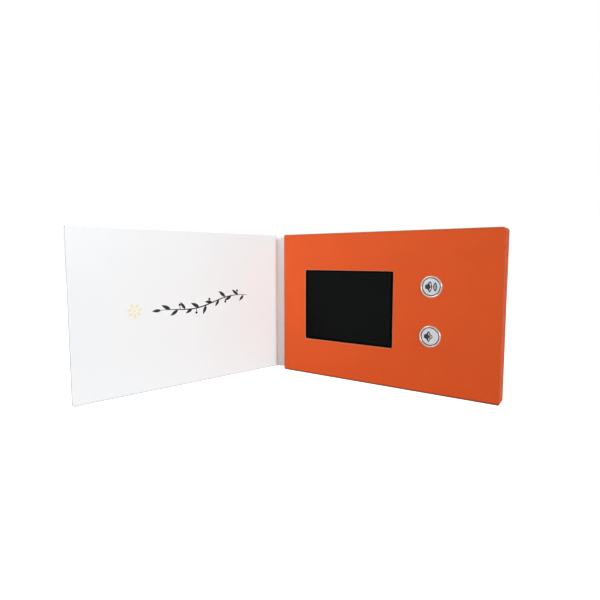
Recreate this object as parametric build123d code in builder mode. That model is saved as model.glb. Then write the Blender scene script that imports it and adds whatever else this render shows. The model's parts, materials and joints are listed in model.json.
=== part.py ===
from build123d import *
import os
from math import cos, sin, radians

# LCD video brochure: a thin block with a screen, two buttons and the electronics, and a card lid
# that opens from it like a book. The cover is one creased sheet: back panel, spine and lid.
# Millimetres. The block stands on its long lower edge at z = 0, its front face looks to -Y,
# its spine side is at -X, and the origin is the centre of its lower face.

# ---------------------------------------------------------------- block
block_w = 112.0            # spine side to fore-edge
block_h = 75.0             # standing height
block_t = 8.0              # front face to the outside of the back panel
tray_wall = 0.6            # laminated card of the printed tray
tray_corner_r = 1.2        # four corners of the tray, seen from the front
tray_front_r = 0.45        # rolled edge round the front face
backing_t = 0.8            # grey board behind the electronics
backing_gap = 0.15         # all round the grey board

# ---------------------------------------------------------------- cover sheet and lid
cover_t = 0.4              # creased outer card
cover_corner_r = 1.6       # fore-edge corners of the back panel
lid_corner_r = 0.7         # fore-edge corners of the lid
back_panel_inset = 0.3     # back panel short of the block's fore-edge
filler_t = 0.45            # board between the lid's outer card and its liner
liner_t = 0.2              # white paper inside the lid and the spine
closed_gap = 0.6           # between the closed lid and the block's face
crease_half = 0.45         # soft card each side of a crease line
filler_setback = 0.9       # lid board starts this far from its crease line
liner_setback = 0.5        # white paper stops this far from a crease line
lid_inset = 2.05           # closed lid short of the block's fore-edge
rear_crease_open = 74.0    # degrees from closed, as it stands
front_crease_open = 30.0   # degrees from closed, as it stands

# ---------------------------------------------------------------- window and screen module
window_w = 49.0
window_h = 36.8
window_from_spine = 14.7
window_corner_r = 0.6
film_margin = 2.4          # clear film glued round the window from behind
film_t = 0.2
lcd_edge = 3.2             # glass beyond the window at the spine side
lcd_side_edge = 2.96       # glass beyond the window above and below
lcd_driver_edge = 8.06     # glass beyond the window at the contact side
lcd_ledge = 4.96           # contact ledge that the front glass leaves open
lcd_plate_t = 0.55         # each of the two glass plates
backlight_t = 1.2
driver_chip_w = 1.3
driver_chip_h = 20.0
driver_chip_t = 0.4
driver_chip_gap = 0.5      # front glass to the driver chip
flex_t = 0.15
flex_h = 16.0
flex_overlap = 1.5         # ribbon bonded on the contact ledge
flex_bend_r = 0.8

# ---------------------------------------------------------------- circuit board
board_t = 1.0
board_screen_gap = 3.9     # screen module to the board
board_from_fore = 5.3      # board to the block's fore-edge
board_from_top = 3.8
board_z = 4.2              # board's lower edge
board_pad_t = 0.8
board_pad_inset = 4.5
connector_w = 2.4
connector_h = 17.5
connector_t = 1.2
connector_inset = 1.0      # from the board's spine-side edge
chip_side = 9.0
chip_t = 1.0
memory_w = 6.0
memory_h = 8.0
memory_t = 0.9
amplifier_w = 4.9
amplifier_h = 3.9
amplifier_t = 0.9
crystal_w = 5.0
crystal_h = 3.2
crystal_t = 0.9
capacitor_w = 1.6
capacitor_h = 0.8
capacitor_t = 0.8
capacitor_count = 5
capacitor_pitch = 2.2
capacitor_gap = 1.2        # amplifier to the row of capacitors
sensor_w = 2.9
sensor_h = 1.4
sensor_t = 1.0
sensor_from_fore = 9.0
sensor_from_top = 12.0

# ---------------------------------------------------------------- charging socket
usb_w = 7.5
usb_t = 2.5
usb_depth = 5.4
usb_wall = 0.3
usb_from_fore = 17.0
usb_mouth_below_top = 0.25
usb_slot_clear = 0.25
usb_plug_t = 1.2           # plastic block at the socket's blind end
usb_tongue_w = 3.7
usb_tongue_t = 0.6
usb_tongue_short = 0.8     # tongue's tip inside the mouth

# ---------------------------------------------------------------- battery
cell_w = 40.0
cell_h = 30.0
cell_corner_r = 1.0
cell_inset = 7.5           # from the screen module's spine-side edge
cell_pad_t = 0.5
cell_tape_t = 0.2
cell_tape_inset = 2.0
safety_board_w = 3.0
safety_board_t = 0.8
battery_wire_d = 1.0
battery_wire_pitch = 1.6
battery_wire_inset = 1.6   # middle of the pair from the cell's upper edge
wire_landing = 2.6         # length of a wire's end over the circuit board
wire_gap = 0.05            # wire off the board's face

# ---------------------------------------------------------------- loudspeaker
speaker_w = 28.0
speaker_web = 1.9          # room between the loudspeaker and the screen module
speaker_corner_r = 2.5
speaker_from_spine = 26.0
speaker_z = 2.3
speaker_wall = 1.0
speaker_basket_t = 0.5
gasket_t = 0.3
cone_t = 0.25
cone_recess = 0.6          # front of the frame to the cone
cone_ledge = 0.8
magnet_w = 12.0
magnet_gap = 0.9           # magnet to the frame, above and below
speaker_wire_d = 0.8
speaker_wire_pitch = 1.6

# ---------------------------------------------------------------- foam tray liner
foam_gap = 0.2             # foam to the tray's walls
pocket_gap = 0.3           # foam to what it holds
channel_h = 32.0           # between the screen's pocket and the board's
channel_shift = 2.0        # channel's middle above the block's middle
speaker_channel_h = 4.0

# ---------------------------------------------------------------- buttons
button_from_window = 18.6  # window's edge to the buttons' middles
button_rise = 0.2          # middle of the pair above the block's middle
button_pitch = 22.4
button_travel = 0.3
ring_d = 10.1
ring_proud = 0.45
ring_flange = 0.3          # radial
ring_wall = 0.55
ring_hole_gap = 0.1        # radial, in the card
ring_edge_r = 0.2
cap_gap = 0.35             # radial, cap to ring
cap_proud = 0.3
cap_edge_r = 0.2
cap_lip = 0.15             # radial, lip behind the ring's barrel that keeps the cap in
cap_lip_t = 0.4
cap_lip_gap = 0.15
cap_press_gap = 0.2        # pressed cap to the switch cover
switch_side = 6.0
switch_h = 2.1             # moulded body
switch_cover_t = 0.25
switch_bore_d = 3.5
switch_floor_t = 0.6
stem_gap = 0.25            # radial, stem to the switch bore
dome_t = 0.12
dome_rise = 0.35
dome_gap = 0.05            # dome to the switch bore, and to the pressed stem

# ---------------------------------------------------------------- lid magnet
lid_magnet_d = 8.0
lid_magnet_t = 0.4
lid_magnet_gap = 0.1

# ---------------------------------------------------------------- worked out from the above
block_left = -block_w / 2
block_mid_z = block_h / 2
tray_depth = block_t - cover_t              # front face to the cover sheet
backing_depth = tray_depth - backing_t      # front of the grey board
cavity_h = block_h - 2 * tray_wall
cavity_w = block_w - 2 * tray_wall

window_x = block_left + window_from_spine + window_w / 2
lcd_w = window_w + lcd_edge + lcd_driver_edge
lcd_h = window_h + 2 * lcd_side_edge
lcd_front_w = lcd_w - lcd_ledge
lcd_depth = tray_wall + film_t
lcd_left = block_left + window_from_spine - lcd_edge
lcd_x = lcd_left + lcd_w / 2
lcd_ledge_depth = lcd_depth + lcd_plate_t
backlight_depth = lcd_ledge_depth + lcd_plate_t

board_left = lcd_left + lcd_w + board_screen_gap
board_w = block_w / 2 - board_from_fore - board_left
board_h = block_h - board_z - board_from_top
board_x = board_left + board_w / 2
board_mid_z = board_z + board_h / 2
board_top = board_z + board_h
board_back_depth = backing_depth - board_pad_t
board_face_depth = board_back_depth - board_t
usb_x = block_w / 2 - usb_from_fore
usb_top = block_h - usb_mouth_below_top
usb_mid_depth = board_face_depth - usb_t / 2

cell_depth = backlight_depth + backlight_t + cell_tape_t
cell_pad_depth = backing_depth - cell_pad_t
cell_t = cell_pad_depth - cell_depth
cell_x = lcd_left + cell_inset + cell_w / 2

speaker_h = block_mid_z - lcd_h / 2 - speaker_web - speaker_z
speaker_x = block_left + speaker_from_spine + speaker_w / 2
speaker_mid_z = speaker_z + speaker_h / 2
speaker_right = speaker_x + speaker_w / 2
frame_depth = tray_wall + gasket_t
cone_depth = frame_depth + cone_recess

ring_barrel_d = ring_d - 2 * ring_flange
ring_inner_d = ring_barrel_d - 2 * ring_wall
cap_d = ring_inner_d - 2 * cap_gap
cap_lip_d = ring_inner_d + 2 * cap_lip
stem_d = switch_bore_d - 2 * stem_gap
switch_depth = board_face_depth - switch_h
switch_floor_depth = board_face_depth - switch_floor_t
stem_end_depth = switch_floor_depth - dome_rise - dome_gap - button_travel
cap_end_depth = switch_depth - switch_cover_t - cap_press_gap - button_travel
lip_depth = cap_end_depth - cap_lip_t
ring_depth = lip_depth - cap_lip_gap        # barrel's end behind the front face
button_x = window_x + window_w / 2 + button_from_window
button_z = {"volume_up": block_mid_z + button_rise + button_pitch / 2,
            "volume_down": block_mid_z + button_rise - button_pitch / 2}

# Crease lines and the directions of the three panels of the cover, seen from above.
crease_pitch = tray_depth + closed_gap + filler_t + liner_t
lid_length = block_w + crease_half - lid_inset
lid_open = rear_crease_open + front_crease_open
rear_line = Vector(block_left - crease_half, block_t / 2 - cover_t)
back_out = Vector(0, 1)
spine_dir = Vector(-sin(radians(rear_crease_open)), -cos(radians(rear_crease_open)))
spine_out = Vector(-cos(radians(rear_crease_open)), sin(radians(rear_crease_open)))
front_line = rear_line + spine_dir * crease_pitch
lid_dir = Vector(cos(radians(lid_open)), -sin(radians(lid_open)))
lid_out = Vector(-sin(radians(lid_open)), -cos(radians(lid_open)))
spine_plane = Plane(origin=rear_line, x_dir=spine_dir, z_dir=spine_out)
lid_plane = Plane(origin=front_line, x_dir=lid_dir, z_dir=lid_out)


def at_depth(depth):
    """Upright plane parallel to the front face, this far behind it."""
    return Plane.XZ.offset(block_t / 2 - depth)


def save(piece, label):
    """Labels a finished piece and writes it as its own STEP file."""
    piece.part.label = label
    export_step(piece.part, f"parts/{label}.step")


os.makedirs("parts", exist_ok=True)

# ================================================================ block: card, board and foam
with BuildPart() as front_tray:
    with BuildSketch(at_depth(0)):
        with Locations((0, block_mid_z)):
            RectangleRounded(block_w, block_h, tray_corner_r)
    extrude(amount=-tray_depth)
    fillet(front_tray.faces().sort_by(Axis.Y)[0].edges(), tray_front_r)
    with BuildSketch(at_depth(tray_wall)):
        with Locations((0, block_mid_z)):
            Rectangle(cavity_w, cavity_h)
    extrude(amount=-tray_depth, mode=Mode.SUBTRACT)
    with BuildSketch(at_depth(0)):
        with Locations((window_x, block_mid_z)):
            RectangleRounded(window_w, window_h, window_corner_r)
        with Locations([(button_x, z) for z in button_z.values()]):
            Circle(ring_barrel_d / 2 + ring_hole_gap)
    extrude(amount=-tray_wall, mode=Mode.SUBTRACT)
    with BuildSketch(Plane.XY.offset(block_h)):
        with Locations((usb_x, usb_mid_depth - block_t / 2)):
            Rectangle(usb_w + 2 * usb_slot_clear, usb_t + 2 * usb_slot_clear)
    extrude(amount=-tray_wall, mode=Mode.SUBTRACT)
save(front_tray, "front_tray")

with BuildPart() as back_panel:
    with BuildSketch(at_depth(tray_depth)) as back_outline:
        with Locations((-back_panel_inset / 2, block_mid_z)):
            Rectangle(block_w - back_panel_inset, block_h)
        fillet(back_outline.vertices().group_by(Axis.X)[-1], cover_corner_r)
    extrude(amount=-cover_t)
save(back_panel, "back_panel")

with BuildPart() as backing_board:
    with BuildSketch(at_depth(backing_depth)):
        with Locations((0, block_mid_z)):
            Rectangle(cavity_w - 2 * backing_gap, cavity_h - 2 * backing_gap)
    extrude(amount=-backing_t)
save(backing_board, "backing_board")

with BuildPart() as foam_liner:
    with BuildSketch(at_depth(tray_wall)):
        with Locations((0, block_mid_z)):
            Rectangle(cavity_w - 2 * foam_gap, cavity_h - 2 * foam_gap)
        with Locations((lcd_x, block_mid_z)):
            Rectangle(lcd_w + 2 * pocket_gap, lcd_h + 2 * pocket_gap, mode=Mode.SUBTRACT)
        with Locations((board_x, board_mid_z)):
            Rectangle(board_w + 2 * pocket_gap, board_h + 2 * pocket_gap, mode=Mode.SUBTRACT)
        with Locations((speaker_x, speaker_mid_z)):
            RectangleRounded(speaker_w + 2 * pocket_gap, speaker_h + 2 * pocket_gap,
                             speaker_corner_r + pocket_gap, mode=Mode.SUBTRACT)
        with Locations(((lcd_x + board_x) / 2, block_mid_z + channel_shift)):
            Rectangle(board_x - lcd_x, channel_h, mode=Mode.SUBTRACT)
        with Locations(((speaker_x + board_x) / 2, speaker_mid_z)):
            Rectangle(board_x - speaker_x, speaker_channel_h, mode=Mode.SUBTRACT)
        with Locations((usb_x, board_top)):
            Rectangle(usb_w + 2 * pocket_gap, 2 * (block_h - board_top), mode=Mode.SUBTRACT)
    extrude(amount=-(backing_depth - tray_wall))
save(foam_liner, "foam_liner")

# ================================================================ screen module
with BuildPart() as window_film:
    with BuildSketch(at_depth(tray_wall)):
        with Locations((window_x, block_mid_z)):
            Rectangle(window_w + 2 * film_margin, window_h + 2 * film_margin)
    extrude(amount=-film_t)
save(window_film, "window_film")

with BuildPart() as screen_glass:
    with BuildSketch(at_depth(lcd_depth)):
        with Locations((lcd_left + lcd_front_w / 2, block_mid_z)):
            Rectangle(lcd_front_w, lcd_h)
    extrude(amount=-lcd_plate_t)
    with BuildSketch(at_depth(lcd_ledge_depth)):
        with Locations((lcd_x, block_mid_z)):
            Rectangle(lcd_w, lcd_h)
    extrude(amount=-lcd_plate_t)
save(screen_glass, "screen_glass")

with BuildPart() as screen_backlight:
    with BuildSketch(at_depth(backlight_depth)):
        with Locations((lcd_x, block_mid_z)):
            Rectangle(lcd_w, lcd_h)
    extrude(amount=-backlight_t)
save(screen_backlight, "screen_backlight")

driver_chip_x = lcd_left + lcd_front_w + driver_chip_gap + driver_chip_w / 2
with BuildPart() as screen_driver_chip:
    with BuildSketch(at_depth(lcd_ledge_depth)):
        with Locations((driver_chip_x, block_mid_z)):
            Rectangle(driver_chip_w, driver_chip_h)
    extrude(amount=driver_chip_t)
save(screen_driver_chip, "screen_driver_chip")

# The ribbon leaves the contact ledge level, drops to the connector and enters it level.
connector_left = board_left + connector_inset
flex_start_x = lcd_left + lcd_w - flex_overlap
flex_front_y = lcd_ledge_depth - flex_t / 2 - block_t / 2
flex_back_y = board_face_depth - connector_t / 2 - block_t / 2
flex_mid_x = (lcd_left + lcd_w + connector_left) / 2
with BuildPart() as screen_ribbon:
    with BuildSketch(Plane.XY.offset(block_mid_z - flex_h / 2)):
        with BuildLine() as ribbon_path:
            FilletPolyline((flex_start_x, flex_front_y), (flex_mid_x, flex_front_y),
                           (flex_mid_x, flex_back_y), (connector_left, flex_back_y),
                           radius=flex_bend_r)
        trace(line_width=flex_t)
    extrude(amount=flex_h)
save(screen_ribbon, "screen_ribbon")

# ================================================================ circuit board and its parts
with BuildPart() as main_board:
    with BuildSketch(at_depth(board_face_depth)):
        with Locations((board_x, board_mid_z)):
            Rectangle(board_w, board_h)
    extrude(amount=-board_t)
save(main_board, "main_board")

with BuildPart() as board_pad:
    with BuildSketch(at_depth(board_back_depth)):
        with Locations((board_x, board_mid_z)):
            Rectangle(board_w - 2 * board_pad_inset, board_h - 2 * board_pad_inset)
    extrude(amount=-board_pad_t)
save(board_pad, "board_pad")

# Each board part: middle from the board's lower spine-side corner, width, height, thickness.
chip_col_x = board_w * 2 / 3
amplifier_z = board_h / 4 - amplifier_h
board_parts = {
    "ribbon_connector": (connector_inset + connector_w / 2, block_mid_z - board_z,
                         connector_w, connector_h, connector_t),
    "processor_chip": (chip_col_x, board_h / 2, chip_side, chip_side, chip_t),
    "memory_chip": (chip_col_x, board_h / 2 + chip_side / 2 + memory_h, memory_w, memory_h,
                    memory_t),
    "amplifier_chip": (chip_col_x, amplifier_z, amplifier_w, amplifier_h, amplifier_t),
    "clock_crystal": (chip_col_x, board_h / 2 - chip_side / 2 - crystal_h, crystal_w, crystal_h,
                      crystal_t),
    "lid_sensor": (block_w / 2 - sensor_from_fore - board_left,
                   block_h - sensor_from_top - board_z, sensor_w, sensor_h, sensor_t),
}
for label, (part_x, part_z, part_w, part_h, part_t) in board_parts.items():
    with BuildPart() as board_part:
        with BuildSketch(at_depth(board_face_depth)):
            with Locations((board_left + part_x, board_z + part_z)):
                Rectangle(part_w, part_h)
        extrude(amount=part_t)
    save(board_part, label)

capacitor_z = board_z + amplifier_z + amplifier_h / 2 + capacitor_gap + capacitor_h / 2
with BuildPart() as chip_capacitors:
    with BuildSketch(at_depth(board_face_depth)):
        with Locations((board_left + chip_col_x, capacitor_z)):
            with GridLocations(capacitor_pitch, 0, capacitor_count, 1):
                Rectangle(capacitor_w, capacitor_h)
    extrude(amount=capacitor_t)
save(chip_capacitors, "chip_capacitors")

# ================================================================ charging socket
usb_low = usb_top - usb_depth
usb_mid_y = usb_mid_depth - block_t / 2
with BuildPart() as usb_shell:
    with BuildSketch(Plane.XY.offset(usb_low)):
        with Locations((usb_x, usb_mid_y)):
            Rectangle(usb_w, usb_t)
            Rectangle(usb_w - 2 * usb_wall, usb_t - 2 * usb_wall, mode=Mode.SUBTRACT)
    extrude(amount=usb_depth)
save(usb_shell, "usb_shell")

with BuildPart() as usb_insert:
    with BuildSketch(Plane.XY.offset(usb_low)):
        with Locations((usb_x, usb_mid_y)):
            Rectangle(usb_w - 2 * usb_wall, usb_t - 2 * usb_wall)
    extrude(amount=usb_plug_t)
    with BuildSketch(Plane.XY.offset(usb_low + usb_plug_t)):
        with Locations((usb_x, usb_mid_y)):
            Rectangle(usb_tongue_w, usb_tongue_t)
    extrude(amount=usb_depth - usb_plug_t - usb_tongue_short)
save(usb_insert, "usb_insert")

# ================================================================ battery
cell_tapes = {
    "battery_tape": (cell_depth - cell_tape_t, cell_tape_t),
    "battery_pad": (cell_pad_depth, cell_pad_t),
}
for label, (tape_depth, tape_t) in cell_tapes.items():
    with BuildPart() as cell_tape:
        with BuildSketch(at_depth(tape_depth)):
            with Locations((cell_x, block_mid_z)):
                Rectangle(cell_w - 2 * cell_tape_inset, cell_h - 2 * cell_tape_inset)
        extrude(amount=-tape_t)
    save(cell_tape, label)

with BuildPart() as battery_cell:
    with BuildSketch(at_depth(cell_depth)):
        with Locations((cell_x, block_mid_z)):
            RectangleRounded(cell_w, cell_h, cell_corner_r)
    extrude(amount=-cell_t)
    fillet(battery_cell.edges().filter_by(Axis.Z), cell_corner_r)
save(battery_cell, "battery_cell")

# Small board across the cell's end, in line with the wires that run to the circuit board.
cell_end_x = cell_x + cell_w / 2
battery_wire_depth = board_face_depth - battery_wire_d / 2 - wire_gap
with BuildPart() as battery_safety_board:
    with BuildSketch(at_depth(battery_wire_depth - safety_board_t / 2)):
        with Locations((cell_end_x + safety_board_w / 2, block_mid_z)):
            Rectangle(safety_board_w, cell_h)
    extrude(amount=-safety_board_t)
save(battery_safety_board, "battery_safety_board")

# Both pairs of wires run straight to the circuit board and end over its face.
wire_end_x = board_left + wire_landing
battery_wire_start_x = cell_end_x + safety_board_w
with BuildPart() as battery_wires:
    with BuildSketch(Plane.YZ.offset(battery_wire_start_x)):
        with Locations((battery_wire_depth - block_t / 2,
                        block_mid_z + cell_h / 2 - battery_wire_inset)):
            with GridLocations(0, battery_wire_pitch, 1, 2):
                Circle(battery_wire_d / 2)
    extrude(amount=wire_end_x - battery_wire_start_x)
save(battery_wires, "battery_wires")

# ================================================================ loudspeaker
speaker_frame_t = board_face_depth - frame_depth
with BuildPart() as speaker_gasket:
    with BuildSketch(at_depth(tray_wall)):
        with Locations((speaker_x, speaker_mid_z)):
            RectangleRounded(speaker_w, speaker_h, speaker_corner_r)
            RectangleRounded(speaker_w - 2 * speaker_wall, speaker_h - 2 * speaker_wall,
                             speaker_corner_r - speaker_wall, mode=Mode.SUBTRACT)
    extrude(amount=-gasket_t)
save(speaker_gasket, "speaker_gasket")

cone_w = speaker_w - 2 * speaker_wall
cone_h = speaker_h - 2 * speaker_wall
cone_corner_r = speaker_corner_r - speaker_wall
basket_w = cone_w - 2 * cone_ledge
basket_h = cone_h - 2 * cone_ledge
with BuildPart() as speaker_frame:
    with BuildSketch(at_depth(frame_depth)):
        with Locations((speaker_x, speaker_mid_z)):
            RectangleRounded(speaker_w, speaker_h, speaker_corner_r)
    extrude(amount=-speaker_frame_t)
    with BuildSketch(at_depth(frame_depth)):
        with Locations((speaker_x, speaker_mid_z)):
            RectangleRounded(cone_w, cone_h, cone_corner_r)
    extrude(amount=-(cone_recess + cone_t), mode=Mode.SUBTRACT)
    with BuildSketch(at_depth(cone_depth + cone_t)):
        with Locations((speaker_x, speaker_mid_z)):
            Rectangle(basket_w, basket_h)
    extrude(amount=-(board_face_depth - speaker_basket_t - cone_depth - cone_t),
            mode=Mode.SUBTRACT)
save(speaker_frame, "speaker_frame")

with BuildPart() as speaker_cone:
    with BuildSketch(at_depth(cone_depth)):
        with Locations((speaker_x, speaker_mid_z)):
            RectangleRounded(cone_w, cone_h, cone_corner_r)
    extrude(amount=-cone_t)
save(speaker_cone, "speaker_cone")

magnet_depth = cone_depth + cone_t + cone_recess
with BuildPart() as speaker_magnet:
    with BuildSketch(at_depth(magnet_depth)):
        with Locations((speaker_x, speaker_mid_z)):
            Rectangle(magnet_w, basket_h - 2 * magnet_gap)
    extrude(amount=-(board_face_depth - speaker_basket_t - magnet_depth))
save(speaker_magnet, "speaker_magnet")

with BuildPart() as speaker_wires:
    with BuildSketch(Plane.YZ.offset(speaker_right)):
        with Locations((board_face_depth - speaker_wire_d / 2 - wire_gap - block_t / 2,
                        speaker_mid_z)):
            with GridLocations(0, speaker_wire_pitch, 1, 2):
                Circle(speaker_wire_d / 2)
    extrude(amount=wire_end_x - speaker_right)
save(speaker_wires, "speaker_wires")

# ================================================================ buttons
for label, z in button_z.items():
    with BuildPart() as button_ring:
        with BuildSketch(at_depth(-ring_proud)):
            with Locations((button_x, z)):
                Circle(ring_d / 2)
        extrude(amount=-ring_proud)
        fillet(button_ring.edges().sort_by(Axis.Y)[0], ring_edge_r)
        with BuildSketch(at_depth(0)):
            with Locations((button_x, z)):
                Circle(ring_barrel_d / 2)
        extrude(amount=-ring_depth)
        with BuildSketch(at_depth(-ring_proud)):
            with Locations((button_x, z)):
                Circle(ring_inner_d / 2)
        extrude(amount=-(ring_proud + ring_depth), mode=Mode.SUBTRACT)
    save(button_ring, f"{label}_ring")

    with BuildPart() as button_cap:
        with BuildSketch(at_depth(-cap_proud)):
            with Locations((button_x, z)):
                Circle(cap_d / 2)
        extrude(amount=-(cap_proud + lip_depth))
        fillet(button_cap.edges().sort_by(Axis.Y)[0], cap_edge_r)
        with BuildSketch(at_depth(lip_depth)):
            with Locations((button_x, z)):
                Circle(cap_lip_d / 2)
        extrude(amount=-cap_lip_t)
    save(button_cap, f"{label}_cap")

    with BuildPart() as button_stem:
        with BuildSketch(at_depth(cap_end_depth)):
            with Locations((button_x, z)):
                Circle(stem_d / 2)
        extrude(amount=-(stem_end_depth - cap_end_depth))
    save(button_stem, f"{label}_stem")

# The two press switches on the circuit board are alike, so each kind of piece is one node.
switch_middles = [(button_x, z) for z in button_z.values()]
with BuildPart() as switch_bodies:
    with BuildSketch(at_depth(switch_depth)):
        with Locations(switch_middles):
            Rectangle(switch_side, switch_side)
    extrude(amount=-(board_face_depth - switch_depth))
    with BuildSketch(at_depth(switch_depth)):
        with Locations(switch_middles):
            Circle(switch_bore_d / 2)
    extrude(amount=-(switch_floor_depth - switch_depth), mode=Mode.SUBTRACT)
save(switch_bodies, "switch_bodies")

with BuildPart() as switch_covers:
    with BuildSketch(at_depth(switch_depth)):
        with Locations(switch_middles):
            Rectangle(switch_side, switch_side)
            Circle(switch_bore_d / 2, mode=Mode.SUBTRACT)
    extrude(amount=switch_cover_t)
save(switch_covers, "switch_covers")

# Snap domes: shallow steel cups that stand on the switch floors just under the stems.
dome_r = switch_bore_d / 2 - dome_gap
with BuildPart() as switch_domes:
    for z in button_z.values():
        dome_plane = Plane(origin=(button_x, switch_floor_depth - block_t / 2, z),
                           x_dir=(1, 0, 0), z_dir=(0, 0, 1))
        with BuildSketch(dome_plane):
            with BuildLine():
                Spline((dome_r, 0), (0, -dome_rise), tangents=[(-1, -1), (-1, 0)])
                Line((0, -dome_rise), (0, dome_t - dome_rise))
                Spline((0, dome_t - dome_rise), (dome_r - dome_t, 0), tangents=[(1, 0), (1, 1)])
                Line((dome_r - dome_t, 0), (dome_r, 0))
            make_face()
        revolve(axis=Axis((button_x, 0, z), (0, 1, 0)))
save(switch_domes, "switch_domes")

# ================================================================ spine
with BuildPart() as spine_card:
    with BuildSketch(spine_plane):
        with Locations((crease_pitch / 2, block_mid_z)):
            Rectangle(crease_pitch - 2 * crease_half, block_h)
    extrude(amount=cover_t)
save(spine_card, "spine_card")

with BuildPart() as spine_liner:
    with BuildSketch(spine_plane):
        with Locations((crease_pitch / 2, block_mid_z)):
            Rectangle(crease_pitch - 2 * liner_setback, block_h)
    extrude(amount=-liner_t)
save(spine_liner, "spine_liner")

# ================================================================ lid
lid_magnet_x = block_w - sensor_from_fore + crease_half
lid_magnet_z = block_h - sensor_from_top
lid_layers = {
    "lid_card": (crease_half, 0, cover_t),
    "lid_board": (filler_setback, -filler_t, filler_t),
    "lid_liner": (liner_setback, -filler_t - liner_t, liner_t),
}
for label, (start, height, thickness) in lid_layers.items():
    with BuildPart() as lid_layer:
        with BuildSketch(lid_plane.offset(height)) as layer_outline:
            with Locations(((start + lid_length) / 2, block_mid_z)):
                Rectangle(lid_length - start, block_h)
            fillet(layer_outline.vertices().filter_by_position(Axis.Z, 0, block_h)
                   .sort_by(Axis(front_line, lid_dir))[-2:], lid_corner_r)
            if label == "lid_board":
                with Locations((lid_magnet_x, lid_magnet_z)):
                    Circle(lid_magnet_d / 2 + lid_magnet_gap, mode=Mode.SUBTRACT)
        extrude(amount=thickness)
    save(lid_layer, label)

with BuildPart() as lid_magnet:
    with BuildSketch(lid_plane):
        with Locations((lid_magnet_x, lid_magnet_z)):
            Circle(lid_magnet_d / 2)
    extrude(amount=-lid_magnet_t)
save(lid_magnet, "lid_magnet")

# ================================================================ creases
# Each crease is a strip of the cover card bent about its line, between two panels.
creases = {
    "rear_crease": (rear_line, Vector(-1, 0), back_out, spine_dir, spine_out),
    "front_crease": (front_line, spine_dir, spine_out, lid_dir, lid_out),
}
for label, (line, before, before_out, after, after_out) in creases.items():
    inner_a = line - before * crease_half
    inner_b = line + after * crease_half
    middle_out = (before_out + after_out).normalized()
    with BuildPart() as crease:
        with BuildSketch(Plane.XY):
            with BuildLine():
                Line(inner_a, line)
                Line(line, inner_b)
                Line(inner_b, inner_b + after_out * cover_t)
                Line(inner_b + after_out * cover_t, line + after_out * cover_t)
                ThreePointArc(line + after_out * cover_t, line + middle_out * cover_t,
                              line + before_out * cover_t)
                Line(line + before_out * cover_t, inner_a + before_out * cover_t)
                Line(inner_a + before_out * cover_t, inner_a)
            make_face()
        extrude(amount=block_h)
    save(crease, label)
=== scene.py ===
import json
from math import atan2, cos, exp, pi, radians, sin, tan

import bmesh
import bpy
from bpy.props import FloatProperty, FloatVectorProperty, IntProperty, PointerProperty
from mathutils import Matrix, Vector


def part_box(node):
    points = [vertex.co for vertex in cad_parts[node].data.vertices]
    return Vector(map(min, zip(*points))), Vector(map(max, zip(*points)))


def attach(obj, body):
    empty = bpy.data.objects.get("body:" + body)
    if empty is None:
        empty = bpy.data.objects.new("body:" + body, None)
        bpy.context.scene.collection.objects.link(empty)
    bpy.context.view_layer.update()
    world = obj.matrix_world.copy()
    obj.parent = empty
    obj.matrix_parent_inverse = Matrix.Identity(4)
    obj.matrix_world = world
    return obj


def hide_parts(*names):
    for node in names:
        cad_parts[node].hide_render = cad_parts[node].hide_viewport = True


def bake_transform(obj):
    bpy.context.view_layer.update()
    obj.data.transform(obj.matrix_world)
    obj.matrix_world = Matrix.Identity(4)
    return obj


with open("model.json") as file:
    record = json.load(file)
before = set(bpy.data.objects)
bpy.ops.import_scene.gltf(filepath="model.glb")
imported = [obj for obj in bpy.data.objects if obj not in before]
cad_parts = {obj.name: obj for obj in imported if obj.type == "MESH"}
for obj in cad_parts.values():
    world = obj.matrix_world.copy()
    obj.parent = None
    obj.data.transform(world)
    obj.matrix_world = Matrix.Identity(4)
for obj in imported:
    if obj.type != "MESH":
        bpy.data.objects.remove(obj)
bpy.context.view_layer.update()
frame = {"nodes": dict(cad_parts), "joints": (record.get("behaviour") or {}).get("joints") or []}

bl_info = {
    "name": "LCD video brochure",
    "version": (1, 0, 0),
    "blender": (4, 5, 0),
    "location": "3D View > Sidebar > Brochure",
    "description": "Models a card folder with a small screen, two buttons and a hinged lid",
    "category": "Object",
}

MM = 0.001
UP = Vector((0, 0, 1))
HAIR = 1e-6                 # two points nearer than this are one


# ================================================================ sizes and colours
def size(label, about, millimetres):
    """A length that a user may change, given in millimetres and kept in metres."""
    return FloatProperty(name=label, description=about, default=millimetres * MM, min=0.0,
                         precision=5, subtype="DISTANCE", unit="LENGTH")


def tint(label, about, red, green, blue):
    """A colour that a user may change, in scene-linear values."""
    return FloatVectorProperty(name=label, description=about, default=(red, green, blue),
                               min=0.0, max=1.0, size=3, subtype="COLOR")


def watts(label, about, power):
    """A lamp's power that a user may change."""
    return FloatProperty(name=label, description=about, default=power, min=0.0, unit="POWER")


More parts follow.
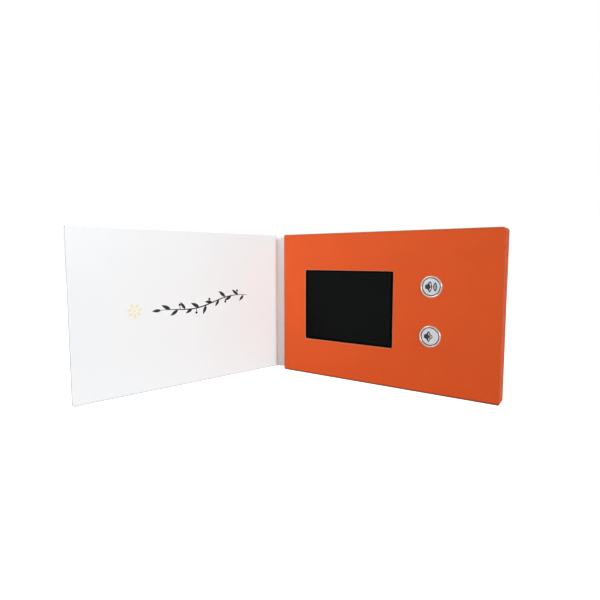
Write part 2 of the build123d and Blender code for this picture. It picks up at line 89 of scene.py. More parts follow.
class BROCHURE_PG_card(bpy.types.PropertyGroup):
    """Printed card of the tray and the cover."""
    print_colour: tint("Print", "Ink on the tray and the outside of the cover", 0.78, 0.105, 0.022)
    # painted shade: a darker copy of the print for the narrow walls, not another ink
    side_shade_colour: tint("Side print", "The same ink on the tray's narrow walls", 0.64, 0.086, 0.018)
    # painted shade: a much darker copy of the print for the rolled edge on the fold's side
    left_roll_shade_colour: tint("Folded print", "The same ink where the sheet is rolled over an edge",
                      0.34, 0.072, 0.035)
    # painted light and shade: a copy of the print toned for the rolled edge on the right, darker
    # than the face and paler than the fold's side because light falls on it; only the rubbed specks
    # are wear
    right_roll_shading_colour: tint("Worn fold", "The rolled edge where hands rub it paler", 0.62, 0.11, 0.038)
    # painted sheen and shade: a darker, greyer copy of the print for the rolled edge along the top
    top_roll_shading_colour: tint("Top fold", "The rolled edge along the top", 0.56, 0.18, 0.085)
    # painted shadow: a near-black copy of the print for the rolled edge that stands on the table
    foot_roll_shadow_colour: tint("Foot", "The rolled edge that stands on the table", 0.14, 0.038, 0.022)
    edge_colour: tint("Pressed edge", "Stretched print on the chamfer round the window",
                      0.66, 0.22, 0.13)
    core_colour: tint("Cut edge", "Bare board where a sheet is cut", 0.78, 0.68, 0.6)
    board_colour: tint("Board", "Grey board inside the block and the lid", 0.42, 0.4, 0.37)
    # painted light: the white is raised and cooled to offset the shade and the orange bounce light
    # near the fold; rows of the finishes step dim it again away from the fold
    leaf_lit_colour: tint("White sheet", "Sheet inside the lid", 0.951, 0.984, 1.0)
    leaf_edge_colour: tint("Sheet's edge", "Cut edge of the white sheets", 0.789, 0.817, 0.83)
    # painted light: a warm tint that stands for the orange light bounced onto the spine; the real
    # sheet is the lid's white
    spine_bounce_tint_colour: tint("Spine sheet", "Sheet over the creases and the spine", 0.975, 0.98, 0.968)
    wall: size("Wall", "Thickness of the tray's card", 0.6)
    corner: size("Upper corner", "Rounding of the tray's upper free corner", 1.6)
    foot_corner: size("Lower corner", "Rounding of the tray's lower free corner", 0.8)
    fold_corner: size("Fold corners", "Rounding of the tray's corners next to the fold", 0.6)
    seam: size("Seam", "Width of the glued seams near the tray's corners", 0.09)
    roll: size("Rolled edge", "Rounding round the front face", 0.45)
    back_corner: size("Back corner", "Rounding of the back sheet's free corners", 1.6)
    lid_corner: size("Lid corner", "Rounding of the lid's free corners", 0.7)
    cut_round: size("Cut rounding", "Rounding along the cut edges of a sheet", 0.09)
    lining: size("Fold lining", "Thickness of the paper that closes the inner fold", 0.08)
    lining_slack: size("Lining slack", "Gap between the fold lining and the white sheets", 0.01)
    lining_knee: size("Lining knee", "How far the fold lining runs on before it bends", 0.2)
    bead: size("Fold bead", "Height of the ridge inside a fold", 0.1)
    bead_width: size("Bead width", "How far the ridge spreads from the fold", 0.2)
    score: size("Score depth", "Depth of the pressed lines outside a fold", 0.05)
    score_place: size("Score place", "From the fold to a pressed line", 0.28)
    score_width: size("Score width", "How far a pressed line spreads", 0.07)
    hole_overlap: size("Hole overlap", "How far a button's ring covers the tray round its hole", 0.2)
    socket_gap: size("Socket gap", "Clearance round the charging socket", 0.25)


class BROCHURE_PG_window(bpy.types.PropertyGroup):
    """Window in the tray and the screen behind it."""
    width: size("Width", "Width of the opening", 49.4)
    shift: size("Shift", "How far the opening lies to the fold's side of the film's middle", 0.2)
    height: size("Height", "Height of the opening", 36.8)
    corner: size("Corner", "Rounding of the opening's corners", 0.6)
    cut_edge: size("Cut edge", "Width of the pale chamfer round the opening", 0.32)
    border: size("Border", "Black border between the opening and the picture area", 1.1)
    sink: size("Sink", "Depth of the picture area under the border", 0.05)
    film_round: size("Film rounding", "Bevel round the film's edges", 0.03)
    cell: size("Cell", "Pitch of the picture cells", 0.153)
    border_colour: tint("Border colour", "Black mask round the picture area",
                        0.0016, 0.0018, 0.0016)
    dark_colour: tint("Unlit screen", "Picture area while it is off", 0.004, 0.0052, 0.0046)


class BROCHURE_PG_buttons(bpy.types.PropertyGroup):
    """Two press buttons: ring, cap and printed sign."""
    crown: size("Crown", "Rounding over the top of a ring", 0.45)
    throat: size("Throat", "Rounding inside a ring's mouth", 0.4)
    gap: size("Gap", "Clearance between a ring and its cap", 0.28)
    dome: size("Dome", "How much higher a cap is in its middle than at its rim", 0.08)
    cap_round: size("Cap rounding", "Rounding of a cap's rim", 0.3)
    flange: size("Flange", "How far a ring's top stands out over its barrel", 0.3)
    barrel_wall: size("Barrel wall", "Wall of a ring's barrel", 0.55)
    seat_slope: size("Seat slope", "How much a ring's inner seat slopes", 0.05)
    lip_drop: size("Lip drop", "How much lower a ring's mouth is than its crown", 0.03)
    rim: size("Cap lip", "Width of the lip that holds a cap in its ring", 0.5)
    lip_height: size("Lip height", "Thickness of that lip", 0.4)
    cap_drop: size("Cap drop", "How much lower a cap's middle is than its solid", 0.02)
    ink_depth: size("Ink", "Thickness of the printed sign", 0.042)
    white_depth: size("White ink", "Thickness of the white paint in a sign", 0.0168)
    ink_sink: size("Ink sink", "How deep the ink starts under the solid's top", 0.03)
    line: size("Line", "Width of the thin lines in a sign", 0.46)
    turns: IntProperty(name="Turning steps", description="Faces round a turned part",
                       default=96, min=12, max=256)
    aside: size("Aside", "How much nearer to the window the visible buttons sit than the solids",
                0.42)
    upper_lift: size("Upper lift", "How much higher the upper button sits than its solid", 0.42)
    lower_lift: size("Lower lift", "How much higher the lower button sits than its solid", 0.15)
    # plated metal tinted warm: painted reflection of the orange print round the rings
    ring_metal_and_reflection_colour: tint("Ring", "Plated metal of the rings", 0.56, 0.43, 0.39)
    cap_colour: tint("Cap", "Satin metal of the caps", 0.565, 0.58, 0.605)
    white_colour: tint("Sign's white", "Paint inside the signs' outlines", 0.86, 0.87, 0.89)
    ink_colour: tint("Sign", "Ink of the signs", 0.022, 0.022, 0.025)


class BROCHURE_PG_socket(bpy.types.PropertyGroup):
    """Steel shell of the charging socket."""
    wall: size("Wall", "Thickness of the steel", 0.3)
    front_corner: size("Front corners", "Rounding of the corners at the front", 0.3)
    back_corner: size("Back corners", "Rounding of the corners at the back", 0.75)
    mouth: size("Mouth", "Rounding round the mouth", 0.08)


class BROCHURE_PG_print(bpy.types.PropertyGroup):
    """Plant drawing on the white sheet inside the lid."""
    start: size("Start", "From the lid's fold to the drawing", 21.5)
    length: size("Length", "Length of the black twig", 49.0)
    height: size("Height", "Middle of the drawing above the lower edge", 39.5)
    rise: size("Rise", "How much higher the twig is at the fold's side", 6.0)
    stem: size("Stem", "Width of the twig's line", 0.6)
    leaf_length: size("Leaf length", "Length of one leaf", 5.0)
    leaf_width: size("Leaf width", "Width of one leaf", 1.7)
    berry: size("Berry", "Diameter of one berry", 1.2)
    flower: size("Flower", "Diameter of the pale flower", 8.0)
    flower_gap: size("Flower gap", "From the twig's tip to the flower's middle", 12.5)
    wave: size("Wave", "Height of the twig's waves", 1.3)
    leaf_gap: size("Leaf gap", "From the twig's middle to a leaf's foot", 0.25)
    berry_reach: size("Berry reach", "From the twig to a berry's middle", 2.3)
    stalk: size("Stalk", "Length of a berry's stalk", 2.0)
    ink_depth: size("Ink", "Thickness of the ink", 0.02)
    ink_sink: size("Ink sink", "How deep the ink starts in the paper", 0.005)
    twig_colour: tint("Twig", "Ink of the twig", 0.012, 0.012, 0.014)
    flower_colour: tint("Flower colour", "Ink of the flower", 0.9, 0.74, 0.42)


class BROCHURE_PG_stage(bpy.types.PropertyGroup):
    """Floor, light and camera."""
    floor_colour: tint("Floor", "Colour of the floor", 0.6, 0.6, 0.6)
    floor_lift: FloatProperty(name="Floor lift", description="Own light of the floor as seen",
                              default=0.9, min=0.0)
    sky: FloatProperty(name="Sky", description="Strength of the even light all round",
                       default=0.22, min=0.0)
    key: watts("Key lamp", "Power of the lamp at the lid's side", 0.183)
    fill: watts("Fill lamp", "Power of the lamp in front of the lid", 7.6)
    back: watts("Back lamp", "Power of the lamp behind the lid", 8.0)
    lens: FloatProperty(name="Lens", description="Focal length for a 36 mm wide picture",
                        default=26.454, min=1.0, unit="CAMERA")


# ================================================================ modelling helpers
def clear_selection():
    """Leaves edit mode and deselects everything."""
    if bpy.context.object and bpy.context.object.mode != "OBJECT":
        bpy.ops.object.mode_set(mode="OBJECT")
    bpy.ops.object.select_all(action="DESELECT")


def choose(piece):
    """Makes one object the selected and active one."""
    clear_selection()
    piece.select_set(True)
    bpy.context.view_layer.objects.active = piece


def edit(piece):
    """Chooses a piece and enters edit mode."""
    choose(piece)
    bpy.ops.object.mode_set(mode="EDIT")


def name_active(name):
    """Names the active object and its data, and returns the object."""
    piece = bpy.context.object
    piece.name = piece.data.name = name
    return piece


def draw_line(name, points):
    """Draws a wire point by point and stays in edit mode."""
    clear_selection()
    bpy.ops.mesh.primitive_plane_add(size=MM, location=(0, 0, 0))
    piece = name_active(name)
    bpy.ops.object.mode_set(mode="EDIT")
    bpy.ops.mesh.select_mode(type="VERT")
    bpy.ops.mesh.select_all(action="SELECT")
    bpy.ops.mesh.merge(type="CENTER")
    bpy.ops.transform.translate(value=points[0])
    for spot, after in zip(points, points[1:]):
        bpy.ops.mesh.extrude_vertices_move(TRANSFORM_OT_translate={"value": after - spot})
    bpy.ops.mesh.select_all(action="SELECT")
    return piece


def draw_solid(name, points, offset):
    """Draws a closed outline, fills it and extrudes it; stays in edit mode."""
    piece = draw_line(name, points)
    bpy.ops.mesh.edge_face_add()
    bpy.ops.mesh.select_all(action="SELECT")
    bpy.ops.mesh.extrude_region_move(TRANSFORM_OT_translate={"value": offset})
    bpy.ops.mesh.select_all(action="SELECT")
    bpy.ops.mesh.normals_make_consistent(inside=False)
    return piece


def pick(piece, kind, test):
    """Selects in edit mode the faces or edges that pass a test."""
    bpy.ops.mesh.select_mode(type="FACE" if kind == "faces" else "EDGE")
    bpy.ops.mesh.select_all(action="DESELECT")
    mesh = bmesh.from_edit_mesh(piece.data)
    mesh.normal_update()
    found = [part for part in getattr(mesh, kind) if test(part)]
    for part in found:
        part.select_set(True)
    mesh.select_flush_mode()
    bmesh.update_edit_mesh(piece.data)
    if not found:
        raise RuntimeError(f"{piece.name}: none of its {kind} pass the test")


def is_corner(edge):
    """True for an edge between two faces that meet at a clear angle."""
    return len(edge.link_faces) == 2 and edge.calc_face_angle() > radians(30)


def both_ends(edge, test):
    """True when the points at both ends of an edge pass a test."""
    return all(test(vert.co) for vert in edge.verts)


def round_edges(piece, test, radius, segments):
    """Rounds the edges that pass a test."""
    pick(piece, "edges", test)
    bpy.ops.mesh.bevel(offset=radius, segments=segments, profile=0.5)


def open_up(piece, test):
    """Deletes the faces that pass a test."""
    pick(piece, "faces", test)
    bpy.ops.mesh.delete(type="FACE")


def apply_modifier(piece, kind, **settings):
    """Adds a modifier with these settings and applies it."""
    choose(piece)
    modifier = piece.modifiers.new(kind, kind)
    for key, value in settings.items():
        setattr(modifier, key, value)
    bpy.ops.object.modifier_apply(modifier=modifier.name)


def thicken(piece, wall):
    """Gives an open shell a wall, grown inward, and stays in edit mode."""
    apply_modifier(piece, "SOLIDIFY", thickness=wall, offset=-1, use_even_offset=True)
    edit(piece)


def cut_away(piece, cutter):
    """Takes the cutter's shape out of the piece and removes the cutter."""
    apply_modifier(piece, "BOOLEAN", operation="DIFFERENCE", solver="EXACT", object=cutter)
    bpy.data.objects.remove(cutter)


def finish_piece(piece, angle):
    """Leaves edit mode and smooths the edges under this angle in degrees, not the flat faces."""
    choose(piece)
    bpy.ops.object.shade_smooth_by_angle(angle=radians(angle))
    apply_modifier(piece, "WEIGHTED_NORMAL", keep_sharp=True)


def copy_of(piece, name, offset):
    """A copy of a piece with its own mesh, moved by an offset."""
    choose(piece)
    bpy.ops.object.duplicate(linked=False)
    copy = name_active(name)
    copy.data.transform(Matrix.Translation(offset))
    return copy


def join_up(pieces, name):
    """Joins pieces into the first one."""
    choose(pieces[0])
    for piece in pieces[1:]:
        piece.select_set(True)
    bpy.ops.object.join()
    return name_active(name)


def dress(piece, finish_of):
    """Gives each face the finish that finish_of names, or all faces one named finish."""
    names = []
    piece.data.materials.clear()
    for face in piece.data.polygons:
        name = finish_of if isinstance(finish_of, str) else finish_of(face)
        if name not in names:
            names.append(name)
            piece.data.materials.append(bpy.data.materials[name])
        face.material_index = names.index(name)


def settle(piece, body, node=None):
    """Hides the node that a piece stands for, if one is given, and puts the piece on its body."""
    if node:
        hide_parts(node)
    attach(piece, body)


def rectangle(left, right, low, high):
    """Corners of a flat rectangle, turning left from its lowest left one."""
    return [(left, low), (right, low), (right, high), (left, high)]


def rounded(corners, radius, steps=6):
    """A flat outline with its corners rounded, by one radius or one for each corner."""
    radii = radius if isinstance(radius, (list, tuple)) else [radius] * len(corners)
    spots = []
    for number, corner in enumerate(corners):
        corner = Vector(corner)
        if radii[number] <= 0:
            spots.append(corner)
            continue
        back = (Vector(corners[number - 1]) - corner).normalized()
        on = (Vector(corners[(number + 1) % len(corners)]) - corner).normalized()
        half = back.angle(on) / 2
        centre = corner + (back + on).normalized() * (radii[number] / sin(half))
        start = corner + back * (radii[number] / tan(half)) - centre
        end = corner + on * (radii[number] / tan(half)) - centre
        first = atan2(start.y, start.x)
        swing = (atan2(end.y, end.x) - first + pi) % (2 * pi) - pi
        for step in range(steps + 1):
            angle = first + swing * step / steps
            spots.append(centre + Vector((cos(angle), sin(angle))) * radii[number])
    return spots


def arc(centre, radius, start, end, steps):
    """Points of a flat arc, by its angles in degrees."""
    turns = [radians(start + (end - start) * step / steps) for step in range(steps + 1)]
    return [Vector((centre[0] + radius * cos(a), centre[1] + radius * sin(a))) for a in turns]


def circle(centre, radius, steps):
    """Points of a full flat circle."""
    return arc(centre, radius, 0, 360, steps)[:-1]


def stroke(points, width, tip):
    """Outline of a pen line along flat points; tip is the share of its width at both ends."""
    left, right = [], []
    last = len(points) - 1
    for number, spot in enumerate(points):
        along = points[min(number + 1, last)] - points[max(number - 1, 0)]
        across = Vector((-along.y, along.x)).normalized()
        share = tip + (1 - tip) * sin(pi * number / last)
        left.append(spot + across * width / 2 * share)
        right.append(spot - across * width / 2 * share)
    return left + right[::-1]


class Panel:
    """A flat panel's own axes: along it, up, and out of its outer face."""

    def __init__(self, origin, along, out):
        self.origin = Vector((*origin[:2], 0))
        self.along = Vector((*along[:2], 0))
        self.out = Vector((*out[:2], 0))

    def at(self, along, up, out=0.0):
        """The point at these distances."""
        return self.origin + self.along * along + UP * up + self.out * out

    def spots(self, flat, out=0.0):
        """A flat outline's points on this panel."""
        return [self.at(spot[0], spot[1], out) for spot in flat]

    def reach(self, node):
        """Lowest and highest along, up and out of a node."""
        rows = [vert.co - self.origin for vert in frame["nodes"][node].data.vertices]
        axes = (self.along, UP, self.out)
        return [(min(r.dot(a) for r in rows), max(r.dot(a) for r in rows)) for a in axes]


def outward(along):
    """The outer side of a cover panel that runs this way from its fold."""
    return Vector((along.y, -along.x, 0))


hinges = {joint["name"]: joint for joint in frame["joints"]}
rear_line = Vector(hinges["rear_crease_fold"]["pos_m"])
front_line = Vector(hinges["front_crease_fold"]["pos_m"])
spine_along = Vector((*(front_line - rear_line)[:2], 0)).normalized()
lid_turn = radians(max(hinges["front_crease_fold"]["range_deg"]))
lid_along = Matrix.Rotation(lid_turn, 3, "Z") @ spine_along
tray_low, tray_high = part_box("front_tray")
face_y = tray_low.y          # the block's front face

front = Panel((0, face_y), (1, 0), (0, -1))
back = Panel(rear_line, (1, 0), (0, 1))
spine = Panel(rear_line, spine_along, outward(spine_along))
lid = Panel(front_line, lid_along, outward(lid_along))


# ================================================================ finishes
def connect(tree, node, **inputs):
    """Sets a shader node's sockets to a value or a link each; _ in a name is a space."""
    for name, given in inputs.items():
        socket = node.inputs[name.replace("_", " ")]
        if isinstance(given, bpy.types.NodeSocket):
            tree.links.new(given, socket)
        else:
            socket.default_value = given
    return node


def add_node(tree, kind, **inputs):
    """A new shader node with its sockets connected."""
    return connect(tree, tree.nodes.new("ShaderNode" + kind), **inputs)


def feed(finish, **inputs):
    """Connects sockets of the finish's own shader."""
    connect(finish.node_tree, finish.node_tree.nodes["Principled BSDF"], **inputs)


def new_finish(name, colour, roughness, metallic=0.0, specular=0.5, **others):
    """A material with its shader set; the texture helpers below add to it."""
    finish = bpy.data.materials.new(name)
    finish.use_nodes = True
    finish.diffuse_color = (*colour, 1)
    feed(finish, Base_Color=(*colour, 1), Roughness=roughness, Metallic=metallic,
         Specular_IOR_Level=specular, **others)
    return finish


def place(finish, centre=(0, 0, 0), stretch=(1, 1, 1)):
    """Object coordinates, moved to a centre and stretched."""
    spot = add_node(finish.node_tree, "TexCoord").outputs["Object"]
    return add_node(finish.node_tree, "Mapping", Vector=spot, Scale=stretch,
                    Location=[-c * s for c, s in zip(centre, stretch)]).outputs["Vector"]


def grain(finish, grain_size, detail=3.0, stretch=(1, 1, 1)):
    """Noise with grains of this size in millimetres."""
    return add_node(finish.node_tree, "TexNoise", Vector=place(finish, stretch=stretch),
                    Scale=1 / (grain_size * MM), Detail=detail).outputs["Fac"]


def blend_of(finish, first, second, share):
    """Two patterns mixed, with this share of the second."""
    return add_node(finish.node_tree, "Mix", Factor=share, A=first, B=second).outputs["Result"]


def colour_by(finish, pattern, low, high, start=0.3, end=0.7):
    """Base colour from low to high by a pattern."""
    ramp = add_node(finish.node_tree, "ValToRGB", Fac=pattern)
    stops = ramp.color_ramp.elements
    stops[0].position, stops[1].position = start, end
    stops[0].color, stops[1].color = (*low, 1), (*high, 1)
    feed(finish, Base_Color=ramp.outputs["Color"])


def roughness_by(finish, pattern, low, high):
    """Roughness from low to high by a pattern."""
    span = add_node(finish.node_tree, "MapRange", Value=pattern, From_Min=0.3, From_Max=0.7,
                    To_Min=low, To_Max=high)
    feed(finish, Roughness=span.outputs["Result"])


def relief_by(finish, pattern, depth, strength):
    """Fine relief of this depth in millimetres by a pattern."""
    bump = add_node(finish.node_tree, "Bump", Height=pattern, Strength=strength,
                    Distance=depth * MM)
    feed(finish, Normal=bump.outputs["Normal"])


def darker_towards(finish, axis, end, start, share):
    """Dims the base colour along an axis, from full at start to a share of it at end.

    The share is one number, or one for each channel.
    """
    tree = finish.node_tree
    base = tree.nodes["Principled BSDF"].inputs["Base Color"].links[0].from_socket
    spot = add_node(tree, "SeparateXYZ", Vector=place(finish)).outputs[axis]
    fade = add_node(tree, "MapRange", Value=spot, From_Min=start, From_Max=end)
    dim = add_node(tree, "Mix", Factor=fade.outputs["Result"])
    dim.data_type, dim.blend_type = "RGBA", "MULTIPLY"
    colour_in, share_in, colour_out = dim.inputs[6], dim.inputs[7], dim.outputs[2]
    share_in.default_value = (*(share if isinstance(share, tuple) else (share,) * 3), 1)
    tree.links.new(base, colour_in)
    feed(finish, Base_Color=colour_out)


def shade(colour, share):
    """The colour made darker or paler by a share."""
    return [min(1.0, part * share) for part in colour]


def toward(colour, other, share):
    """The colour moved towards another."""
    return [a + (b - a) * share for a, b in zip(colour, other)]


def printed_card(name, colour, specular=0.1):
    """Matt laminated print: slight mottling, fine fibre relief and uneven sheen."""
    finish = new_finish(name, colour, 0.5, specular=specular)
    mottle = blend_of(finish, grain(finish, 14, 2), grain(finish, 0.5), 0.4)
    fibre = grain(finish, 0.22, 4)
    colour_by(finish, mottle, shade(colour, 0.965), shade(colour, 1.03))
    roughness_by(finish, fibre, 0.44, 0.58)
    relief_by(finish, fibre, 0.006, 0.6)


def folded_print(name, colour, core):
    """Print rolled over an edge, in a toned copy of the print that paints in the light and shade of
    that edge, with specks where the ink has rubbed off.
    """
    finish = new_finish(name, colour, 0.5, specular=0.05)
    rub = blend_of(finish, grain(finish, 0.16, 5), grain(finish, 3), 0.35)
    colour_by(finish, rub, colour, toward(colour, core, 0.12), 0.56, 0.74)
    roughness_by(finish, rub, 0.42, 0.66)
    relief_by(finish, rub, 0.012, 0.6)


def cut_board(name, colour):
    """Cut edge of board: pale fibre in thin layers."""
    finish = new_finish(name, colour, 0.85, specular=0.15)
    fibre = blend_of(finish, grain(finish, 0.12, 5), grain(finish, 1.2), 0.4)
    colour_by(finish, fibre, shade(colour, 0.8), shade(colour, 1.08))
    relief_by(finish, fibre, 0.03, 0.7)


def white_sheet(name, colour):
    """Matt white paper with a faint tooth."""
    finish = new_finish(name, colour, 0.6, specular=0.2)
    cloud = blend_of(finish, grain(finish, 25, 2), grain(finish, 0.3), 0.5)
    fibre = grain(finish, 0.18, 4)
    colour_by(finish, cloud, shade(colour, 0.988), shade(colour, 1.006))
    roughness_by(finish, fibre, 0.52, 0.68)
    relief_by(finish, fibre, 0.006, 0.5)


def ink(name, colour):
    """Printed ink, a little uneven."""
    finish = new_finish(name, colour, 0.45, specular=0.3)
    cover = grain(finish, 0.25, 4)
    colour_by(finish, cover, colour, shade(colour, 1.25))
    roughness_by(finish, cover, 0.38, 0.55)
    relief_by(finish, cover, 0.004, 0.5)


def turned_metal(name, colour, roughness, centre):
    """Plated metal with fine turning marks round a centre."""
    finish = new_finish(name, colour, roughness, metallic=0.55)
    rings = add_node(finish.node_tree, "TexWave", Vector=place(finish, centre),
                     Scale=1 / (1.1 * MM), Distortion=1.5, Detail=3)
    rings.wave_type, rings.rings_direction = "RINGS", "Y"
    marks = blend_of(finish, rings.outputs["Fac"], grain(finish, 0.3, 4), 0.55)
    colour_by(finish, marks, shade(colour, 0.93), shade(colour, 1.04))
    roughness_by(finish, marks, roughness * 0.85, roughness * 1.2)
    relief_by(finish, marks, 0.004, 0.35)


def dark_glass(name, colour, specular, cell=0.0):
    """Black mask, or an unlit screen with the faint grid of its picture cells."""
    finish = new_finish(name, colour, 0.16, specular=specular)
    smear = grain(finish, 9)
    roughness_by(finish, smear, 0.12, 0.2)
    if not cell:
        colour_by(finish, smear, shade(colour, 0.9), shade(colour, 1.1))
        return
    tree = finish.node_tree
    apart = add_node(tree, "SeparateXYZ", Vector=place(finish)).outputs
    flat = add_node(tree, "CombineXYZ", X=apart["X"], Y=apart["Z"]).outputs["Vector"]
    grid = add_node(tree, "TexBrick", Vector=flat, Scale=1 / cell, Mortar_Size=0.03,
                    Brick_Width=0.5, Row_Height=0.5, Color1=(*colour, 1),
                    Color2=(*shade(colour, 1.12), 1), Mortar=(*shade(colour, 0.7), 1))
    grid.offset = 0
    feed(finish, Base_Color=grid.outputs["Color"])


def moulded(name, colour, roughness, grain_size, depth, contrast, metallic=0.0,
            stretch=(1, 1, 1), **others):
    """Plain stuff of the parts inside: its colour, an even grain and a fine relief."""
    finish = new_finish(name, colour, roughness, metallic, **others)
    pattern = grain(finish, grain_size, 4, stretch)
    colour_by(finish, pattern, shade(colour, 1 - contrast), shade(colour, 1 + contrast))
    roughness_by(finish, pattern, roughness * 0.85, min(1.0, roughness * 1.15))
    relief_by(finish, pattern, depth, 0.6)


# ================================================================ tray
def wrapped_card(card):
    """The tray's folded card: open at the back, rolled round the front, seamed at its bends."""
    corners = rectangle(tray_low.x, tray_high.x, tray_low.z, tray_high.z)
    radii = [card.fold_corner, card.foot_corner, card.corner, card.fold_corner]
    tray = draw_solid("tray_wrap", front.spots(rounded(corners, radii, 8)),
                      Vector((0, tray_high.y - face_y, 0)))
    open_up(tray, lambda face: face.normal.y > 0.9)
    round_edges(tray, lambda edge: is_corner(edge) and both_ends(
        edge, lambda end: abs(end.y - face_y) < HAIR), card.roll, 5)
    thicken(tray, card.wall)
    close = card.seam / 8
    for (wall_x, wall_z), radius in zip(corners, radii):
        bend_x = wall_x + (radius if wall_x < 0 else -radius)

        def is_seam(edge):
            return both_ends(edge, lambda end: abs(end.x - bend_x) < close and abs(
                end.z - wall_z) < close and end.y > face_y + card.roll - HAIR)

        round_edges(tray, is_seam, card.seam / 2, 2)
        pick(tray, "edges", is_seam)
        inward = card.seam * (0.8 if wall_z == tray_low.z else -0.8)
        bpy.ops.transform.translate(value=(0, 0, inward))
    return tray


class BROCHURE_OT_tray(bpy.types.Operator):
    """Models the printed tray with its window, button holes and socket slot"""
    bl_idname = "brochure.tray"
    bl_label = "Tray"

    def execute(self, context):
        card, window = context.scene.brochure_card, context.scene.brochure_window
        low, high = tray_low, tray_high
        tray = wrapped_card(card)

        film_low, film_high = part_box("window_film")
        middle = (film_low + film_high) / 2 - Vector((window.shift, 0, 0))
        half_x, half_z = window.width / 2, window.height / 2
        around = rectangle(middle.x - half_x, middle.x + half_x,
                           middle.z - half_z, middle.z + half_z)
        holes = [rounded(around, window.corner)]
        for ring in ("volume_up_ring", "volume_down_ring"):
            spot, ring_low, ring_high = button_middle(ring)
            reach = (ring_high.x - ring_low.x) / 2 - card.hole_overlap
            holes.append(circle((spot.x, spot.z), reach, 48))
        cut_depth = 4 * card.wall
        for hole in holes:
            cut_away(tray, draw_solid("hole", front.spots(hole, card.wall),
                                      Vector((0, cut_depth, 0))))
        shell_low, shell_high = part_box("usb_shell")
        clear = card.socket_gap
        slot = rounded(rectangle(shell_low.x - clear, shell_high.x + clear,
                                 shell_low.y - clear, shell_high.y + clear), 2 * clear, 4)
        above = high.z + card.wall
        cut_away(tray, draw_solid("slot", [Vector((x, y, above)) for x, y in slot],
                                  -UP * cut_depth))

        edit(tray)
        round_edges(tray, lambda edge: is_corner(edge) and both_ends(
            edge, lambda end: abs(end.y - face_y) < HAIR and abs(end.x - middle.x) < half_x + HAIR
            and abs(end.z - middle.z) < half_z + HAIR), window.cut_edge, 2)
        finish_piece(tray, 40)

        rim = window.cut_edge * 1.2
        skin = card.wall / 2

        def finish_of(face):
            spot, facing = face.center, face.normal
            if (abs(spot.x - middle.x) < half_x + rim and abs(spot.z - middle.z) < half_z + rim
                    and spot.y < face_y + card.wall - HAIR and abs(facing.y) < 0.98):
                # painted shade: the opening's cut walls take the black mask's finish instead of bare
                # board; the chamfer keeps the pressed print
                return "screen_border" if abs(facing.y) < 0.02 else "pressed_edge"
            in_slot = (abs(facing.z) < 0.5 and spot.z > high.z - card.wall + HAIR
                       and shell_low.x - MM < spot.x < shell_high.x + MM
                       and shell_low.y - MM < spot.y < shell_high.y + MM)
            if in_slot or spot.y > high.y - HAIR:
                return "cut_edge"
            within = (low.x + skin < spot.x < high.x - skin and spot.y > face_y + skin
                      and low.z + skin < spot.z < high.z - skin)
            turned_out = facing.x * spot.x + facing.z * (spot.z - (low.z + high.z) / 2)
            if within and turned_out < HAIR:
                return "grey_board"
            if spot.y < face_y + HAIR:
                return "tray_print"
            # the narrow walls take a darker copy of the print: painted shade
            if facing.y > -0.05:
                return "side_print"
            # each rolled edge takes its own toned copy of the print: painted shadow below, painted
            # shade on the fold's side, painted sheen and shade on top and on the right
            if abs(facing.z) > 0.1:
                return "foot_fold" if facing.z < 0 else "top_fold"
            return "worn_fold" if facing.x > 0.1 else "folded_print"

        dress(tray, finish_of)
        settle(tray, "block", "front_tray")
        return {"FINISHED"}


# ================================================================ cover sheet
def lay_sheet(name, panel, node, corner, cut_round, finishes, body):
    """Models one flat sheet; finishes are those of its outer face, its edge and its inner face."""
    outer, edge_finish, inner = finishes
    (start, end), (low, high), (inside, outside) = panel.reach(node)
    outline = rounded(rectangle(start, end, low, high), [0, corner, corner, 0], 8)
    sheet = draw_solid(name, panel.spots(outline, inside), panel.out * (outside - inside))
    if cut_round:
        def is_free(edge):
            ends = [vert.co - panel.origin for vert in edge.verts]
            on_face = any(all(abs(end.dot(panel.out) - level) < HAIR for end in ends)
                          for level in (inside, outside))
            at_fold = all(abs(end.dot(panel.along) - start) < HAIR for end in ends)
            return is_corner(edge) and on_face and not at_fold
        round_edges(sheet, is_free, cut_round, 2)
    finish_piece(sheet, 50)

    def finish_of(face):
        facing = face.normal.dot(panel.out)
        if facing > 0.5:
            return outer
        return inner if facing < -0.5 else edge_finish

    dress(sheet, finish_of)
    settle(sheet, body, node)


class BROCHURE_OT_cover_panels(bpy.types.Operator):
    """Models the back, spine and lid panels of the printed cover sheet"""
    bl_idname = "brochure.cover_panels"
    bl_label = "Cover panels"

    def execute(self, context):
        card = context.scene.brochure_card
        for name, panel, node, corner, cut_round, body in (
                ("back_sheet", back, "back_panel", card.back_corner, card.cut_round, "block"),
                ("spine_sheet", spine, "spine_card", 0, 0, "spine"),
                ("lid_sheet", lid, "lid_card", card.lid_corner, card.cut_round, "lid")):
            lay_sheet(name, panel, node, corner, cut_round,
                      ("cover_print", "cut_edge", "white_sheet"), body)
        return {"FINISHED"}


class BROCHURE_OT_white_leaves(bpy.types.Operator):
    """Models the white sheets inside the lid and the spine"""
    bl_idname = "brochure.white_leaves"
    bl_label = "White sheets"

    def execute(self, context):
        card = context.scene.brochure_card
        for name, panel, node, corner, paper, body in (
                ("spine_leaf", spine, "spine_liner", 0, "white_sheet", "spine"),
                ("lid_leaf", lid, "lid_liner", card.lid_corner, "lid_white", "lid")):
            lay_sheet(name, panel, node, corner, card.cut_round / 2,
                      (paper, "leaf_edge", paper), body)
        return {"FINISHED"}


